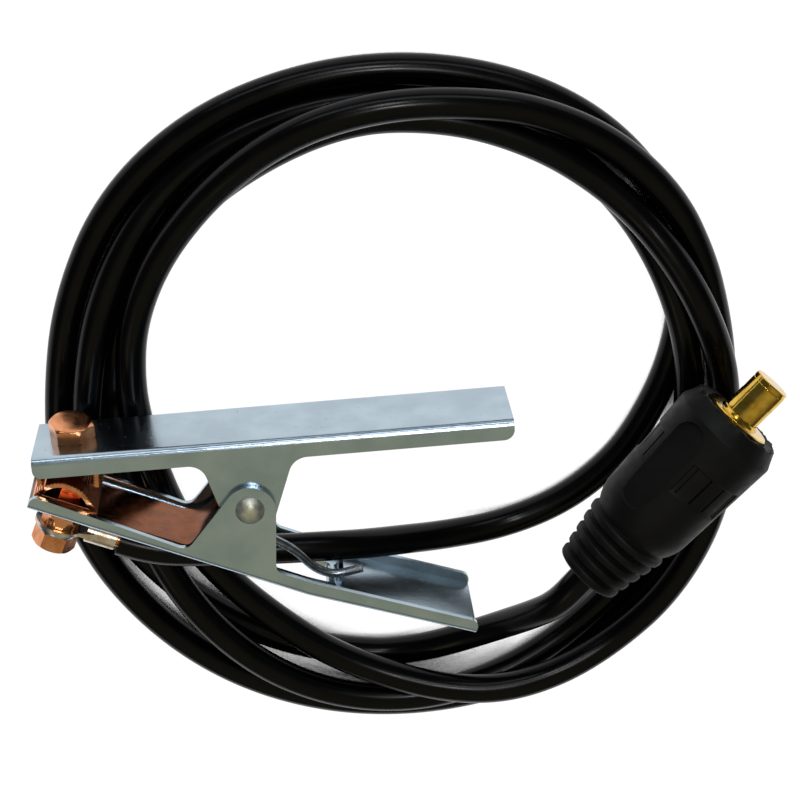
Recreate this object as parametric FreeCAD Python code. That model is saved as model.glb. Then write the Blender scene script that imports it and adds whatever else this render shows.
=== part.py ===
import FreeCAD, Part
import math
import os

from FreeCAD import Placement, Rotation, Vector

# Welding earth clamp: two sprung channel levers with copper jaws, a rubber cable in a loose coil and a booted
# cable plug. Millimetres. The clamp lies on its side: X runs to the handles, Y to the upper lever, Z up along
# the rivet. Sizes are written from the rivet axis, and the whole part is moved at the end so that the clamp's
# own box is centred on the origin.

os.makedirs("parts", exist_ok=True)

# Sheet and levers
SHEET = 2.0
BEND_RADIUS = 2.6                # outside radius where a web turns into its flanges
UPPER_WIDTH = 31.3
SIDE_CLEARANCE = 0.1             # between an upper ear and the lower ear beside it
UPPER_WEB = 23.5                 # rivet axis to the outside of the web
UPPER_FLANGE = 6.8
UPPER_JAW_END = 69.0             # rivet axis to the jaw end
UPPER_HANDLE_END = 88.5
LOWER_WEB = 24.1
LOWER_JAW_END = 68.6
LOWER_BEND_AT = 29.7             # where the handle's gentle upward bend starts
LOWER_BEND_RADIUS = 60.0
LOWER_HANDLE_RUN = 58.5
LOWER_HANDLE_BEND = 5.0          # degrees
LOWER_FLANGE_JAW = 5.5
LOWER_FLANGE_EAR = 3.4
LOWER_FLANGE_HANDLE = 5.2
UPPER_EAR_RADIUS = 9.1
LOWER_EAR_RADIUS = 8.6

# Pivot
RIVET_RADIUS = 4.0
RIVET_HEAD_RADIUS = 4.9
RIVET_HEAD_HEIGHT = 2.6
PIVOT_CLEARANCE = 0.05           # radial, in the turning ears and under the sleeve
SEAT_CLEARANCE = 0.02            # radial, between a shank and a hole that it fills
WASHER_RADIUS = 7.0
WASHER_THICK = 1.0
TAIL_HEIGHT = 1.6
SLEEVE_WALL = 1.4
SLEEVE_END_PLAY = 0.1

# Torsion spring
SPRING_WIRE = 3.0
SPRING_GAP = 0.25                # between the sleeve and the coils
SPRING_TURNS = 4
SPRING_COIL_GAP = 0.12           # between one turn and the next
SPRING_NEAR_Z = 7.5              # height of the lower leg, which is the coil's near end
SPRING_TIP_RISE = 8.7            # from the lower web up to the underside of the upturned tip

# M8 bolts, nuts and washers
BOLT_RADIUS = 4.0
HEX_AF = 13.0
INNER_NUT_AF = 12.0              # small-series M8 nut inside the lower jaw
HEAD_HEIGHT = 5.3
NUT_THIN = 4.0
NUT_FULL = 6.5
HOLE_CLEARANCE = 0.2
THREAD_END = 0.6
UPPER_BOLT_AT = 56.5             # rivet axis to the bolt axis, along the web
LOWER_BOLT_AT = 55.9
LOCK_WASHER_RADIUS = 7.2
LOCK_WASHER_THICK = 1.6

# Jaws and bridging strap
JAW_WALL = 2.0
JAW_LENGTH = 25.2
UPPER_JAW_CENTRE = 58.4
UPPER_JAW_WIDTH = 20.0
UPPER_JAW_CORNER = 6.5
TIP_ROUND = 0.7
BOSS_RADIUS = 6.0                # tapped boss inside the upper jaw's crown
BOSS_HEIGHT = 3.2
UPPER_JAW_TIP_LEFT = 13.1
UPPER_JAW_TIP_RIGHT = 10.8
LOWER_JAW_CENTRE = 56.6
LOWER_JAW_WIDTH = 21.0
LOWER_JAW_HEIGHT = 8.7
LOWER_JAW_CORNER = 8.0
LOWER_JAW_INNER_CORNER = 4.6
LOWER_JAW_BASE = 1.6
JAW_MOUTH = 2.51                 # end of the upper bolt to the lower jaw's crown
STRAP_THICK = 1.0
STRAP_WIDTH = 26.4
STRAP_BEND = 6.0
FACE_GAP = 0.02                  # between flat faces that are clamped together
CONDUCTOR_GAP = 0.2              # between the bare conductor and the jacket that it comes out of

# Lug and cable
CABLE_RADIUS = 5.2
CONDUCTOR_RADIUS = 2.6
LUG_THICK = 2.4
LUG_RING_RADIUS = 8.3
LUG_BARREL_RADIUS = 4.0
LUG_BARREL_START = 46.4
LUG_BARREL_END = 36.2
JACKET_START = 34.0              # rivet axis to the end of the jacket, along the lower web
SLOT_JAW_END = 28.0
SLOT_HANDLE_END = 37.0
SLOT_WIDTH = 14.0
LIP_RADIUS = 4.0

# Coil: a ring of turns that lies on the floor under the clamp
CLAMP_GAP = 0.3                  # the clamp's far side lies this far above the coil
COIL_HEIGHT = 19.3
COIL_CENTRE = (51.1, 11.8)
COIL_OUTER = 128.0
COIL_INNER = 83.0
COIL_EDGE = 5.0

# Plug: its axis lies level, on top of the coil's right side
PLUG_REAR = (112.2, -42.1, 3.6)
PLUG_TURN = 45.75                # degrees from X
PIN_RADIUS = 6.5
PIN_LENGTH = 18.0
PIN_STEP = 0.35                  # the front stretch is thinner by this, all but its locking nose
NOSE_LENGTH = 3.2
NOSE_WIDTH = 3.6
COLLAR_RADIUS = 12.2
COLLAR_THICK = 3.0
COLLAR_FLAT = 10.6
BODY_RADIUS = 10.0
BODY_LENGTH = 42.0
SOCKET_DEPTH = 26.0
FERRULE_WALL = 1.6
GRUB_RADIUS = 4.0
GRUB_SPACING = 11.0
BOOT_LENGTH = 76.0
BOOT_REAR_RADIUS = 12.0
BOOT_NECK_RADIUS = 15.4
BOOT_BODY_RADIUS = 17.4
BOOT_FRONT_RADIUS = 19.2
BOOT_LIP_RADIUS = 16.4
BOOT_RIBS = 5
BOOT_RIB_PITCH = 4.6
BOOT_BORE_GAP = 0.2

SPRING_PITCH = SPRING_WIRE + SPRING_COIL_GAP
LOWER_WIDTH = UPPER_WIDTH + 2 * (SHEET + SIDE_CLEARANCE)
HALF_UPPER = UPPER_WIDTH / 2
HALF_LOWER = LOWER_WIDTH / 2
FLOOR = -HALF_LOWER - CLAMP_GAP - COIL_HEIGHT
UPPER_BOLT_LENGTH = SHEET + STRAP_THICK + JAW_WALL + BOSS_HEIGHT + 3 * FACE_GAP
UPPER_BOLT_END = UPPER_WEB + FACE_GAP - UPPER_BOLT_LENGTH
LOWER_JAW_CROWN = -LOWER_WEB + SHEET + STRAP_THICK + 2 * FACE_GAP + LOWER_JAW_HEIGHT
# the jaws rest on each other, and that sets how many degrees the lower lever is turned down about the rivet
LOWER_TURN = math.degrees(math.acos((LOWER_JAW_CROWN + JAW_MOUTH) / math.hypot(UPPER_BOLT_AT, UPPER_BOLT_END))
                          - math.atan2(UPPER_BOLT_AT, UPPER_BOLT_END))
LOWER_PLACE = Placement(Vector(0, 0, 0), Rotation(Vector(0, 0, 1), -LOWER_TURN))


def from_lower(x, y, z=0.0):
    """A point written along the lower lever, as a point beside the upper one."""
    return LOWER_PLACE.multVec(Vector(x, y, z))


def outline(corners):
    """A closed flat wire through (x, y, radius) corners, each rounded to its radius."""
    count = len(corners)
    starts, ends, arcs = [], [], []
    for i, (x, y, radius) in enumerate(corners):
        here = Vector(x, y, 0)
        before = Vector(*corners[i - 1][:2], 0)
        after = Vector(*corners[(i + 1) % count][:2], 0)
        back, ahead = (before - here).normalize(), (after - here).normalize()
        if radius <= 0:
            starts.append(here)
            ends.append(here)
            arcs.append(None)
            continue
        half = back.getAngle(ahead) / 2
        reach = radius / math.tan(half)
        middle = here + (back + ahead).normalize() * (radius / math.sin(half) - radius)
        starts.append(here + back * reach)
        ends.append(here + ahead * reach)
        arcs.append(middle)
    edges = []
    for i in range(count):
        if arcs[i] is not None:
            edges.append(Part.Arc(starts[i], arcs[i], ends[i]).toShape())
        following = starts[(i + 1) % count]
        if (following - ends[i]).Length > 1e-6:
            edges.append(Part.LineSegment(ends[i], following).toShape())
    return Part.Wire(edges)


def plate(corners, low, high):
    """The outline's face pushed from height low to height high."""
    face = Part.Face(outline(corners))
    face.translate(Vector(0, 0, low))
    return face.extrude(Vector(0, 0, high - low))


def rod(radius, start, end):
    """A round bar from one point to another."""
    run = end - start
    return Part.makeCylinder(radius, run.Length, start, run)


def hexagon(across, height, base, axis, hole=0.0):
    """A hexagon bar with its outer corners chamfered at 30 degrees on the far end, standing on base along axis."""
    corner = across / math.sqrt(3)
    points = [Vector(corner * math.cos(math.radians(a)), corner * math.sin(math.radians(a)), 0)
              for a in range(0, 361, 60)]
    body = Part.Face(Part.makePolygon(points)).extrude(Vector(0, 0, height))
    slope = math.tan(math.radians(30))
    top_radius = across * 0.475
    full_height = height + (top_radius - corner * 1.02) * slope
    turned = Part.makePolygon([Vector(0, 0, 0), Vector(corner * 1.02, 0, 0), Vector(corner * 1.02, 0, full_height),
                               Vector(top_radius, 0, height), Vector(0, 0, height), Vector(0, 0, 0)])
    body = body.common(Part.Face(turned).revolve(Vector(0, 0, 0), Vector(0, 0, 1), 360))
    if hole:
        body = body.cut(Part.makeCylinder(hole, height + 2, Vector(0, 0, -1)))
    body.Placement = Placement(base, Rotation(Vector(0, 0, 1), axis))
    return body


def channel(outside, inside, half_width, is_web_edge):
    """A pressed channel: the outline block, bent edges rounded, hollowed by the inner block."""
    outer = plate(outside, -half_width, half_width)
    outer = outer.makeFillet(BEND_RADIUS, [e for e in outer.Edges if is_web_edge(e.BoundBox)])
    room = half_width - SHEET
    return outer.cut(plate(inside, -room, room))


def upper_lever():
    """Straight channel with two ears round the rivet."""
    edge = UPPER_WEB - UPPER_FLANGE
    outside = [(-UPPER_JAW_END, UPPER_WEB, 0), (-UPPER_JAW_END, edge, 2.8), (-14.4, edge, 6.0),
               (-1.24, -29.5, UPPER_EAR_RADIUS), (15.7, edge, 6.5),
               (UPPER_HANDLE_END, edge, 3.6), (UPPER_HANDLE_END, UPPER_WEB, 0)]
    far = UPPER_HANDLE_END + 10
    inside = [(-far, UPPER_WEB - SHEET, 0), (-far, -40, 0), (far, -40, 0), (far, UPPER_WEB - SHEET, 0)]

    def web_edge(box):
        return box.XLength > UPPER_HANDLE_END and box.YMin > UPPER_WEB - 0.01 and box.ZLength < 0.01

    lever = channel(outside, inside, HALF_UPPER, web_edge)
    lever = lever.cut(rod(RIVET_RADIUS + PIVOT_CLEARANCE, Vector(0, 0, -HALF_LOWER), Vector(0, 0, HALF_LOWER)))
    top = Vector(-UPPER_BOLT_AT, UPPER_WEB + 1, 0)
    return lever.cut(rod(BOLT_RADIUS + HOLE_CLEARANCE, top, top - Vector(0, SHEET + 2, 0)))


def handle_line(along, lift):
    """A point on the bent handle of the lower lever: along it from the bend, and above its outside face."""
    angle = math.radians(LOWER_HANDLE_BEND)
    return (LOWER_BEND_AT + along * math.cos(angle) - lift * math.sin(angle),
            -LOWER_WEB + along * math.sin(angle) + lift * math.cos(angle))


def lower_lever():
    """Wider channel with ears outside the upper's, a cable slot with a rolled lip, and a bend in the handle."""
    root_top = -LOWER_WEB + LOWER_FLANGE_EAR
    outside = [(-LOWER_JAW_END, -LOWER_WEB, 0), (LOWER_BEND_AT, -LOWER_WEB, LOWER_BEND_RADIUS),
               (*handle_line(LOWER_HANDLE_RUN, 0), 0), (*handle_line(LOWER_HANDLE_RUN, LOWER_FLANGE_HANDLE), 2.6),
               (*handle_line(0, LOWER_FLANGE_HANDLE + 0.4), 0), (15.8, -LOWER_WEB + LOWER_FLANGE_HANDLE + 0.4, 3.2),
               (-0.86, 27.8, LOWER_EAR_RADIUS), (-14.6, root_top, 4.0),
               (-LOWER_JAW_END, -LOWER_WEB + LOWER_FLANGE_JAW, 2.6)]
    far = LOWER_JAW_END + 10
    inside = [(-far, -LOWER_WEB + SHEET, 0), (*handle_line(0, SHEET), LOWER_BEND_RADIUS - SHEET),
              (*handle_line(LOWER_HANDLE_RUN + 10, SHEET), 0), (*handle_line(LOWER_HANDLE_RUN + 10, 80), 0),
              (-far, 60, 0)]

    def web_edge(box):
        # the straight stretch at the jaw end: the rounding runs on along the handle
        return box.XLength > LOWER_JAW_END and box.YMax < -LOWER_WEB + 0.01 and box.ZLength < 0.01

    lever = channel(outside, inside, HALF_LOWER, web_edge)
    lever = lever.cut(rod(RIVET_RADIUS + SEAT_CLEARANCE, Vector(0, 0, -HALF_LOWER - 1), Vector(0, 0, HALF_LOWER + 1)))
    bottom = Vector(-LOWER_BOLT_AT, -LOWER_WEB - 1, 0)
    lever = lever.cut(rod(BOLT_RADIUS + HOLE_CLEARANCE, bottom, bottom + Vector(0, SHEET + 2, 0)))
    half = SLOT_WIDTH / 2
    ends = [(-SLOT_JAW_END, -half, half * 0.98), (SLOT_HANDLE_END, -half, 1.5), (SLOT_HANDLE_END, half, 1.5),
            (-SLOT_JAW_END, half, half * 0.98)]
    slot = plate(ends, 0, SHEET * 4)
    slot.rotate(Vector(0, 0, 0), Vector(1, 0, 0), -90)
    slot.translate(Vector(0, -LOWER_WEB - SHEET, 0))
    lever = lever.cut(slot)
    lever = lever.fuse(slot_lip()).removeSplitter()
    lever.Placement = LOWER_PLACE
    return lever


def slot_lip():
    """The sheet at the handle end of the slot, rolled up and back over the cable's path."""
    half = SLOT_WIDTH / 2 - 0.8
    centre_x = SLOT_HANDLE_END - 0.4
    low = handle_line(centre_x - LOWER_BEND_AT, 0)[1]
    outer, inner = LIP_RADIUS, LIP_RADIUS - SHEET * 0.8
    hub = Vector(centre_x, low + LIP_RADIUS, 0)
    start, sweep = -100, 130

    def on(radius, degrees):
        turn = math.radians(degrees)
        return hub + Vector(radius * math.cos(turn), radius * math.sin(turn), 0)

    wire = Part.Wire([Part.Arc(on(outer, start), on(outer, start + sweep / 2), on(outer, start + sweep)).toShape(),
                      Part.LineSegment(on(outer, start + sweep), on(inner, start + sweep)).toShape(),
                      Part.Arc(on(inner, start + sweep), on(inner, start + sweep / 2), on(inner, start)).toShape(),
                      Part.LineSegment(on(inner, start), on(outer, start)).toShape()])
    face = Part.Face(wire)
    face.translate(Vector(0, 0, -half))
    return face.extrude(Vector(0, 0, 2 * half))


def pivot_rivet():
    """Shank with a domed near head and a flattened far end."""
    near, far = HALF_LOWER, -HALF_LOWER - WASHER_THICK
    sphere = (RIVET_HEAD_RADIUS ** 2 + RIVET_HEAD_HEIGHT ** 2) / (2 * RIVET_HEAD_HEIGHT)
    dome = Part.makeSphere(sphere, Vector(0, 0, near + RIVET_HEAD_HEIGHT - sphere))
    keep = Part.makeCylinder(RIVET_HEAD_RADIUS, RIVET_HEAD_HEIGHT, Vector(0, 0, near + FACE_GAP))
    shank = rod(RIVET_RADIUS, Vector(0, 0, far), Vector(0, 0, near + FACE_GAP))
    tail = Part.makeCone(RIVET_HEAD_RADIUS, RIVET_RADIUS * 0.7, TAIL_HEIGHT, Vector(0, 0, far - FACE_GAP),
                         Vector(0, 0, -1))
    neck = rod(RIVET_RADIUS, Vector(0, 0, far - FACE_GAP), Vector(0, 0, far + 1))
    return dome.common(keep).fuse([shank, tail, neck]).removeSplitter()


def ring(outer, inner, base, axis, thick):
    """A flat washer standing on base along axis."""
    return Part.makeCylinder(outer, thick, base, axis).cut(Part.makeCylinder(inner, thick, base, axis))


def spring_sleeve():
    """Spacer tube between the upper lever's ears, round the rivet."""
    length = UPPER_WIDTH - 2 * SHEET - 2 * SLEEVE_END_PLAY
    inner = RIVET_RADIUS + PIVOT_CLEARANCE
    return ring(inner + SLEEVE_WALL, inner, Vector(0, 0, -length / 2), Vector(0, 0, 1), length)


def leg_path(points, radius):
    """Runs through the points with each inner corner rounded."""
    edges = []
    position = points[0]
    for before, here, after in zip(points, points[1:], points[2:]):
        back, ahead = (before - here).normalize(), (after - here).normalize()
        half = back.getAngle(ahead) / 2
        reach = radius / math.tan(half)
        start, end = here + back * reach, here + ahead * reach
        middle = here + (back + ahead).normalize() * (radius / math.sin(half) - radius)
        edges += [Part.LineSegment(position, start).toShape(), Part.Arc(start, middle, end).toShape()]
        position = end
    edges.append(Part.LineSegment(position, points[-1]).toShape())
    return Part.Wire(edges)


def wire_along(path, radius):
    """A round wire whose middle follows the path."""
    first = path.Edges[0]
    start = first.valueAt(first.FirstParameter)
    section = Part.Wire(Part.makeCircle(radius, start, first.tangentAt(first.FirstParameter)))
    return path.makePipeShell([section], True, True)


def leaves_coil(point, radius, side):
    """Where the line from a leg's point touches the coil's circle round the rivet, on one side or the other."""
    away = math.hypot(point.x, point.y)
    turn = math.atan2(point.y, point.x) + side * math.acos(radius / away)
    return Vector(radius * math.cos(turn), radius * math.sin(turn), point.z)


def torsion_spring():
    """Close coils round the sleeve, one leg on each lever's web."""
    radius = RIVET_RADIUS + PIVOT_CLEARANCE + SLEEVE_WALL + SPRING_GAP + SPRING_WIRE / 2
    half_wire = SPRING_WIRE / 2
    near, far = SPRING_NEAR_Z, SPRING_NEAR_Z - SPRING_PITCH * (SPRING_TURNS - 1)
    coils = [Part.makeTorus(radius, half_wire, Vector(0, 0, near - SPRING_PITCH * i)) for i in range(SPRING_TURNS)]
    low_foot = from_lower(32.0, -LOWER_WEB + SHEET + half_wire + 1.1, 5.0)
    low_tip = from_lower(45.5, -LOWER_WEB + SPRING_TIP_RISE + half_wire, 4.6)
    low_knee = Vector(5.2, -15.6, near)
    low_start = leaves_coil(low_knee, radius, -1)
    low_leg = wire_along(leg_path([low_start, low_knee, low_foot, low_tip], 4.0), half_wire)
    up_knee = Vector(9.5, UPPER_WEB - SHEET - half_wire - 0.3, far)
    up_start = leaves_coil(up_knee, radius, 1)
    up_tip = Vector(30.0, UPPER_WEB - SHEET - half_wire - 0.3, far)
    up_leg = wire_along(leg_path([up_start, up_knee, up_tip], 4.0), half_wire)
    links = [rod(half_wire * 0.9, Vector(-radius, 0, near - SPRING_PITCH * i),
                 Vector(-radius, 0, near - SPRING_PITCH * (i + 1))) for i in range(SPRING_TURNS - 1)]
    return coils[0].fuse(coils[1:] + links + [low_leg, up_leg])


def upper_jaw():
    """Half shell under the upper web, open downwards and at both ends, with a tapped boss for its bolt."""
    left, right = -UPPER_JAW_CENTRE - UPPER_JAW_WIDTH / 2, -UPPER_JAW_CENTRE + UPPER_JAW_WIDTH / 2
    crown = UPPER_WEB - SHEET - STRAP_THICK - 2 * FACE_GAP
    inner_corner = UPPER_JAW_CORNER - JAW_WALL
    corners = [(left, UPPER_JAW_TIP_LEFT, TIP_ROUND), (left, crown, UPPER_JAW_CORNER), (right, crown, UPPER_JAW_CORNER),
               (right, UPPER_JAW_TIP_RIGHT, TIP_ROUND), (right - JAW_WALL, UPPER_JAW_TIP_RIGHT, TIP_ROUND),
               (right - JAW_WALL, crown - JAW_WALL, inner_corner), (left + JAW_WALL, crown - JAW_WALL, inner_corner),
               (left + JAW_WALL, UPPER_JAW_TIP_LEFT, TIP_ROUND)]
    jaw = plate(corners, -JAW_LENGTH / 2, JAW_LENGTH / 2)
    top = Vector(-UPPER_BOLT_AT, crown - JAW_WALL / 2, 0)
    foot = Vector(-UPPER_BOLT_AT, crown - JAW_WALL - BOSS_HEIGHT, 0)
    jaw = jaw.fuse(rod(BOSS_RADIUS, top, foot)).removeSplitter()
    return jaw.cut(rod(BOLT_RADIUS + SEAT_CLEARANCE, top + Vector(0, JAW_WALL, 0), foot - Vector(0, 1, 0)))


def lower_jaw():
    """Arched shell on a flat base, its crown up to meet the upper jaw, open at both ends."""
    left, right = -LOWER_JAW_CENTRE - LOWER_JAW_WIDTH / 2, -LOWER_JAW_CENTRE + LOWER_JAW_WIDTH / 2
    base = -LOWER_WEB + SHEET + STRAP_THICK + 2 * FACE_GAP
    crown = LOWER_JAW_CROWN
    inner_corner = LOWER_JAW_INNER_CORNER
    outer = plate([(left, base, 0.5), (left, crown, LOWER_JAW_CORNER), (right, crown, LOWER_JAW_CORNER),
                   (right, base, 0.5)], -JAW_LENGTH / 2, JAW_LENGTH / 2)
    room = plate([(left + JAW_WALL, base + LOWER_JAW_BASE, 0.3), (left + JAW_WALL, crown - JAW_WALL, inner_corner),
                  (right - JAW_WALL, crown - JAW_WALL, inner_corner), (right - JAW_WALL, base + LOWER_JAW_BASE, 0.3)],
                 -JAW_LENGTH / 2 - 1, JAW_LENGTH / 2 + 1)
    bottom = Vector(-LOWER_BOLT_AT, base - 1, 0)
    hole = rod(BOLT_RADIUS + HOLE_CLEARANCE, bottom, bottom + Vector(0, LOWER_JAW_BASE + 2, 0))
    jaw = outer.cut(room).cut(hole)
    jaw.Placement = LOWER_PLACE
    return jaw


def bolt(head_face, axis, length):
    """Hexagon bolt: head on head_face pointing back against axis, plain shank along it."""
    head = hexagon(HEX_AF, HEAD_HEIGHT, head_face, axis * -1)
    return head.fuse(rod(BOLT_RADIUS, head_face, head_face + axis * length)).removeSplitter()


def upper_bolt():
    """Bolt of the upper jaw, down through the web, the strap and the jaw's boss."""
    return bolt(Vector(-UPPER_BOLT_AT, UPPER_WEB + FACE_GAP, 0), Vector(0, -1, 0), UPPER_BOLT_LENGTH)


def lower_fastening():
    """From the web down: spacer nut, lug, lock washer, bolt head; inside the jaw the second nut."""
    up, down = Vector(0, 1, 0), Vector(0, -1, 0)
    x = -LOWER_BOLT_AT
    spacer_top = -LOWER_WEB - FACE_GAP
    lug_top = spacer_top - NUT_FULL - FACE_GAP
    washer_top = lug_top - LUG_THICK - FACE_GAP
    head_face = washer_top - LOCK_WASHER_THICK - FACE_GAP
    nut_base = -LOWER_WEB + SHEET + STRAP_THICK + LOWER_JAW_BASE + 3 * FACE_GAP
    length = nut_base + NUT_THIN + THREAD_END - head_face
    hole = BOLT_RADIUS + SEAT_CLEARANCE
    pieces = {
        "lower_spacer_nut": hexagon(HEX_AF, NUT_FULL, Vector(x, spacer_top, 0), down, hole),
        "lug_lock_washer": ring(LOCK_WASHER_RADIUS, BOLT_RADIUS + HOLE_CLEARANCE, Vector(x, washer_top, 0), down,
                                LOCK_WASHER_THICK),
        "lower_jaw_bolt": bolt(Vector(x, head_face, 0), up, length),
        "lower_jaw_nut": hexagon(INNER_NUT_AF, NUT_THIN, Vector(x, nut_base, 0), up, hole),
        "cable_lug": cable_lug(x, lug_top),
        "cable_conductor": rod(CONDUCTOR_RADIUS, Vector(-LUG_BARREL_START + 1.5, lug_top - LUG_THICK / 2, 0),
                               Vector(-JACKET_START - CONDUCTOR_GAP, lug_top - LUG_THICK / 2, 0)),
    }
    for piece in pieces.values():
        piece.Placement = LOWER_PLACE.multiply(piece.Placement)
    return pieces, lug_top - LUG_THICK / 2


def cable_lug(x, top):
    """Tube lug: flat ring round the bolt, palm, and a barrel crimped on the conductor."""
    down = Vector(0, -1, 0)
    palm_half = LUG_BARREL_RADIUS + 0.6
    disc = Part.makeCylinder(LUG_RING_RADIUS, LUG_THICK, Vector(x, top, 0), down)
    palm = Part.makeBox(-LUG_BARREL_START - x + 2.5, LUG_THICK, 2 * palm_half, Vector(x, top - LUG_THICK, -palm_half))
    axis_y = top - LUG_THICK / 2
    barrel = rod(LUG_BARREL_RADIUS, Vector(-LUG_BARREL_START, axis_y, 0), Vector(-LUG_BARREL_END, axis_y, 0))
    lug = disc.fuse([palm, barrel]).removeSplitter()
    bore = rod(CONDUCTOR_RADIUS + SEAT_CLEARANCE, Vector(-LUG_BARREL_START + 1.5, axis_y, 0),
               Vector(-LUG_BARREL_END + 1, axis_y, 0))
    return lug.cut(bore).cut(Part.makeCylinder(BOLT_RADIUS + HOLE_CLEARANCE, LUG_THICK + 2, Vector(x, top + 1, 0), down))


def bridging_strap():
    """Copper sheet from the lower jaw's bolt toward the pivot, up, and back to the upper jaw's bolt."""
    low = -LOWER_WEB + SHEET + FACE_GAP + STRAP_THICK / 2
    high = UPPER_WEB - SHEET - FACE_GAP - STRAP_THICK / 2
    path = leg_path([from_lower(-63.0, low), from_lower(-44.0, low), Vector(-15.5, -12.4, 0),
                     Vector(-11.2, high, 0), Vector(-64.0, high, 0)], STRAP_BEND)
    first = path.Edges[0]
    start = first.valueAt(first.FirstParameter)
    across = first.tangentAt(first.FirstParameter).cross(Vector(0, 0, 1)) * (STRAP_THICK / 2)
    side = Vector(0, 0, STRAP_WIDTH / 2)
    section = Part.makePolygon([start + across + side, start - across + side, start - across - side,
                                start + across - side, start + across + side])
    strap = path.makePipeShell([section], True, True)
    hole = BOLT_RADIUS + HOLE_CLEARANCE
    strap = strap.cut(rod(hole, from_lower(-LOWER_BOLT_AT, low - 3), from_lower(-LOWER_BOLT_AT, low + 3)))
    return strap.cut(rod(hole, Vector(-UPPER_BOLT_AT, high - 3, 0), Vector(-UPPER_BOLT_AT, high + 3, 0)))


def cable_tube(name, points):
    """A cord's stretch: straight runs joined by the largest tangent arcs that its runs allow."""
    points = [Vector(*p) for p in points]
    edges, position, radii = [], points[0], []
    for before, here, after in zip(points, points[1:], points[2:]):
        back, ahead = (before - here), (after - here)
        shorter = min(back.Length, ahead.Length)
        back.normalize()
        ahead.normalize()
        half = back.getAngle(ahead) / 2
        reach = 0.45 * shorter
        radius = reach * math.tan(half)
        radii.append(round(radius, 1))
        start, end = here + back * reach, here + ahead * reach
        middle = here + (back + ahead).normalize() * (radius / math.sin(half) - radius)
        edges += [Part.LineSegment(position, start).toShape(), Part.Arc(start, middle, end).toShape()]
        position = end
    edges.append(Part.LineSegment(position, points[-1]).toShape())
    path = Part.Wire(edges)
    tube = wire_along(path, CABLE_RADIUS)
    section = math.pi * CABLE_RADIUS ** 2
    print(name, "length", round(path.Length, 1), "radii", radii, "volume ratio",
          round(tube.Volume / (section * path.Length), 4))
    return tube


def cable_coil():
    """The closed outer shape of the loose coil."""
    low, high = FLOOR, FLOOR + COIL_HEIGHT
    corners = [(COIL_INNER, low, COIL_EDGE), (COIL_OUTER, low, COIL_EDGE), (COIL_OUTER, high, COIL_EDGE),
               (COIL_INNER, high, COIL_EDGE)]
    face = Part.Face(outline(corners))
    face.rotate(Vector(0, 0, 0), Vector(1, 0, 0), 90)
    coil = face.revolve(Vector(0, 0, 0), Vector(0, 0, 1), 360)
    coil.translate(Vector(*COIL_CENTRE, 0))
    return coil


def turned(profile):
    """The solid of revolution of (along, radius) corners about X."""
    points = [Vector(along, radius, 0) for along, radius in profile]
    face = Part.Face(Part.makePolygon(points + [points[0]]))
    return face.revolve(Vector(0, 0, 0), Vector(1, 0, 0), 360)


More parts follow.
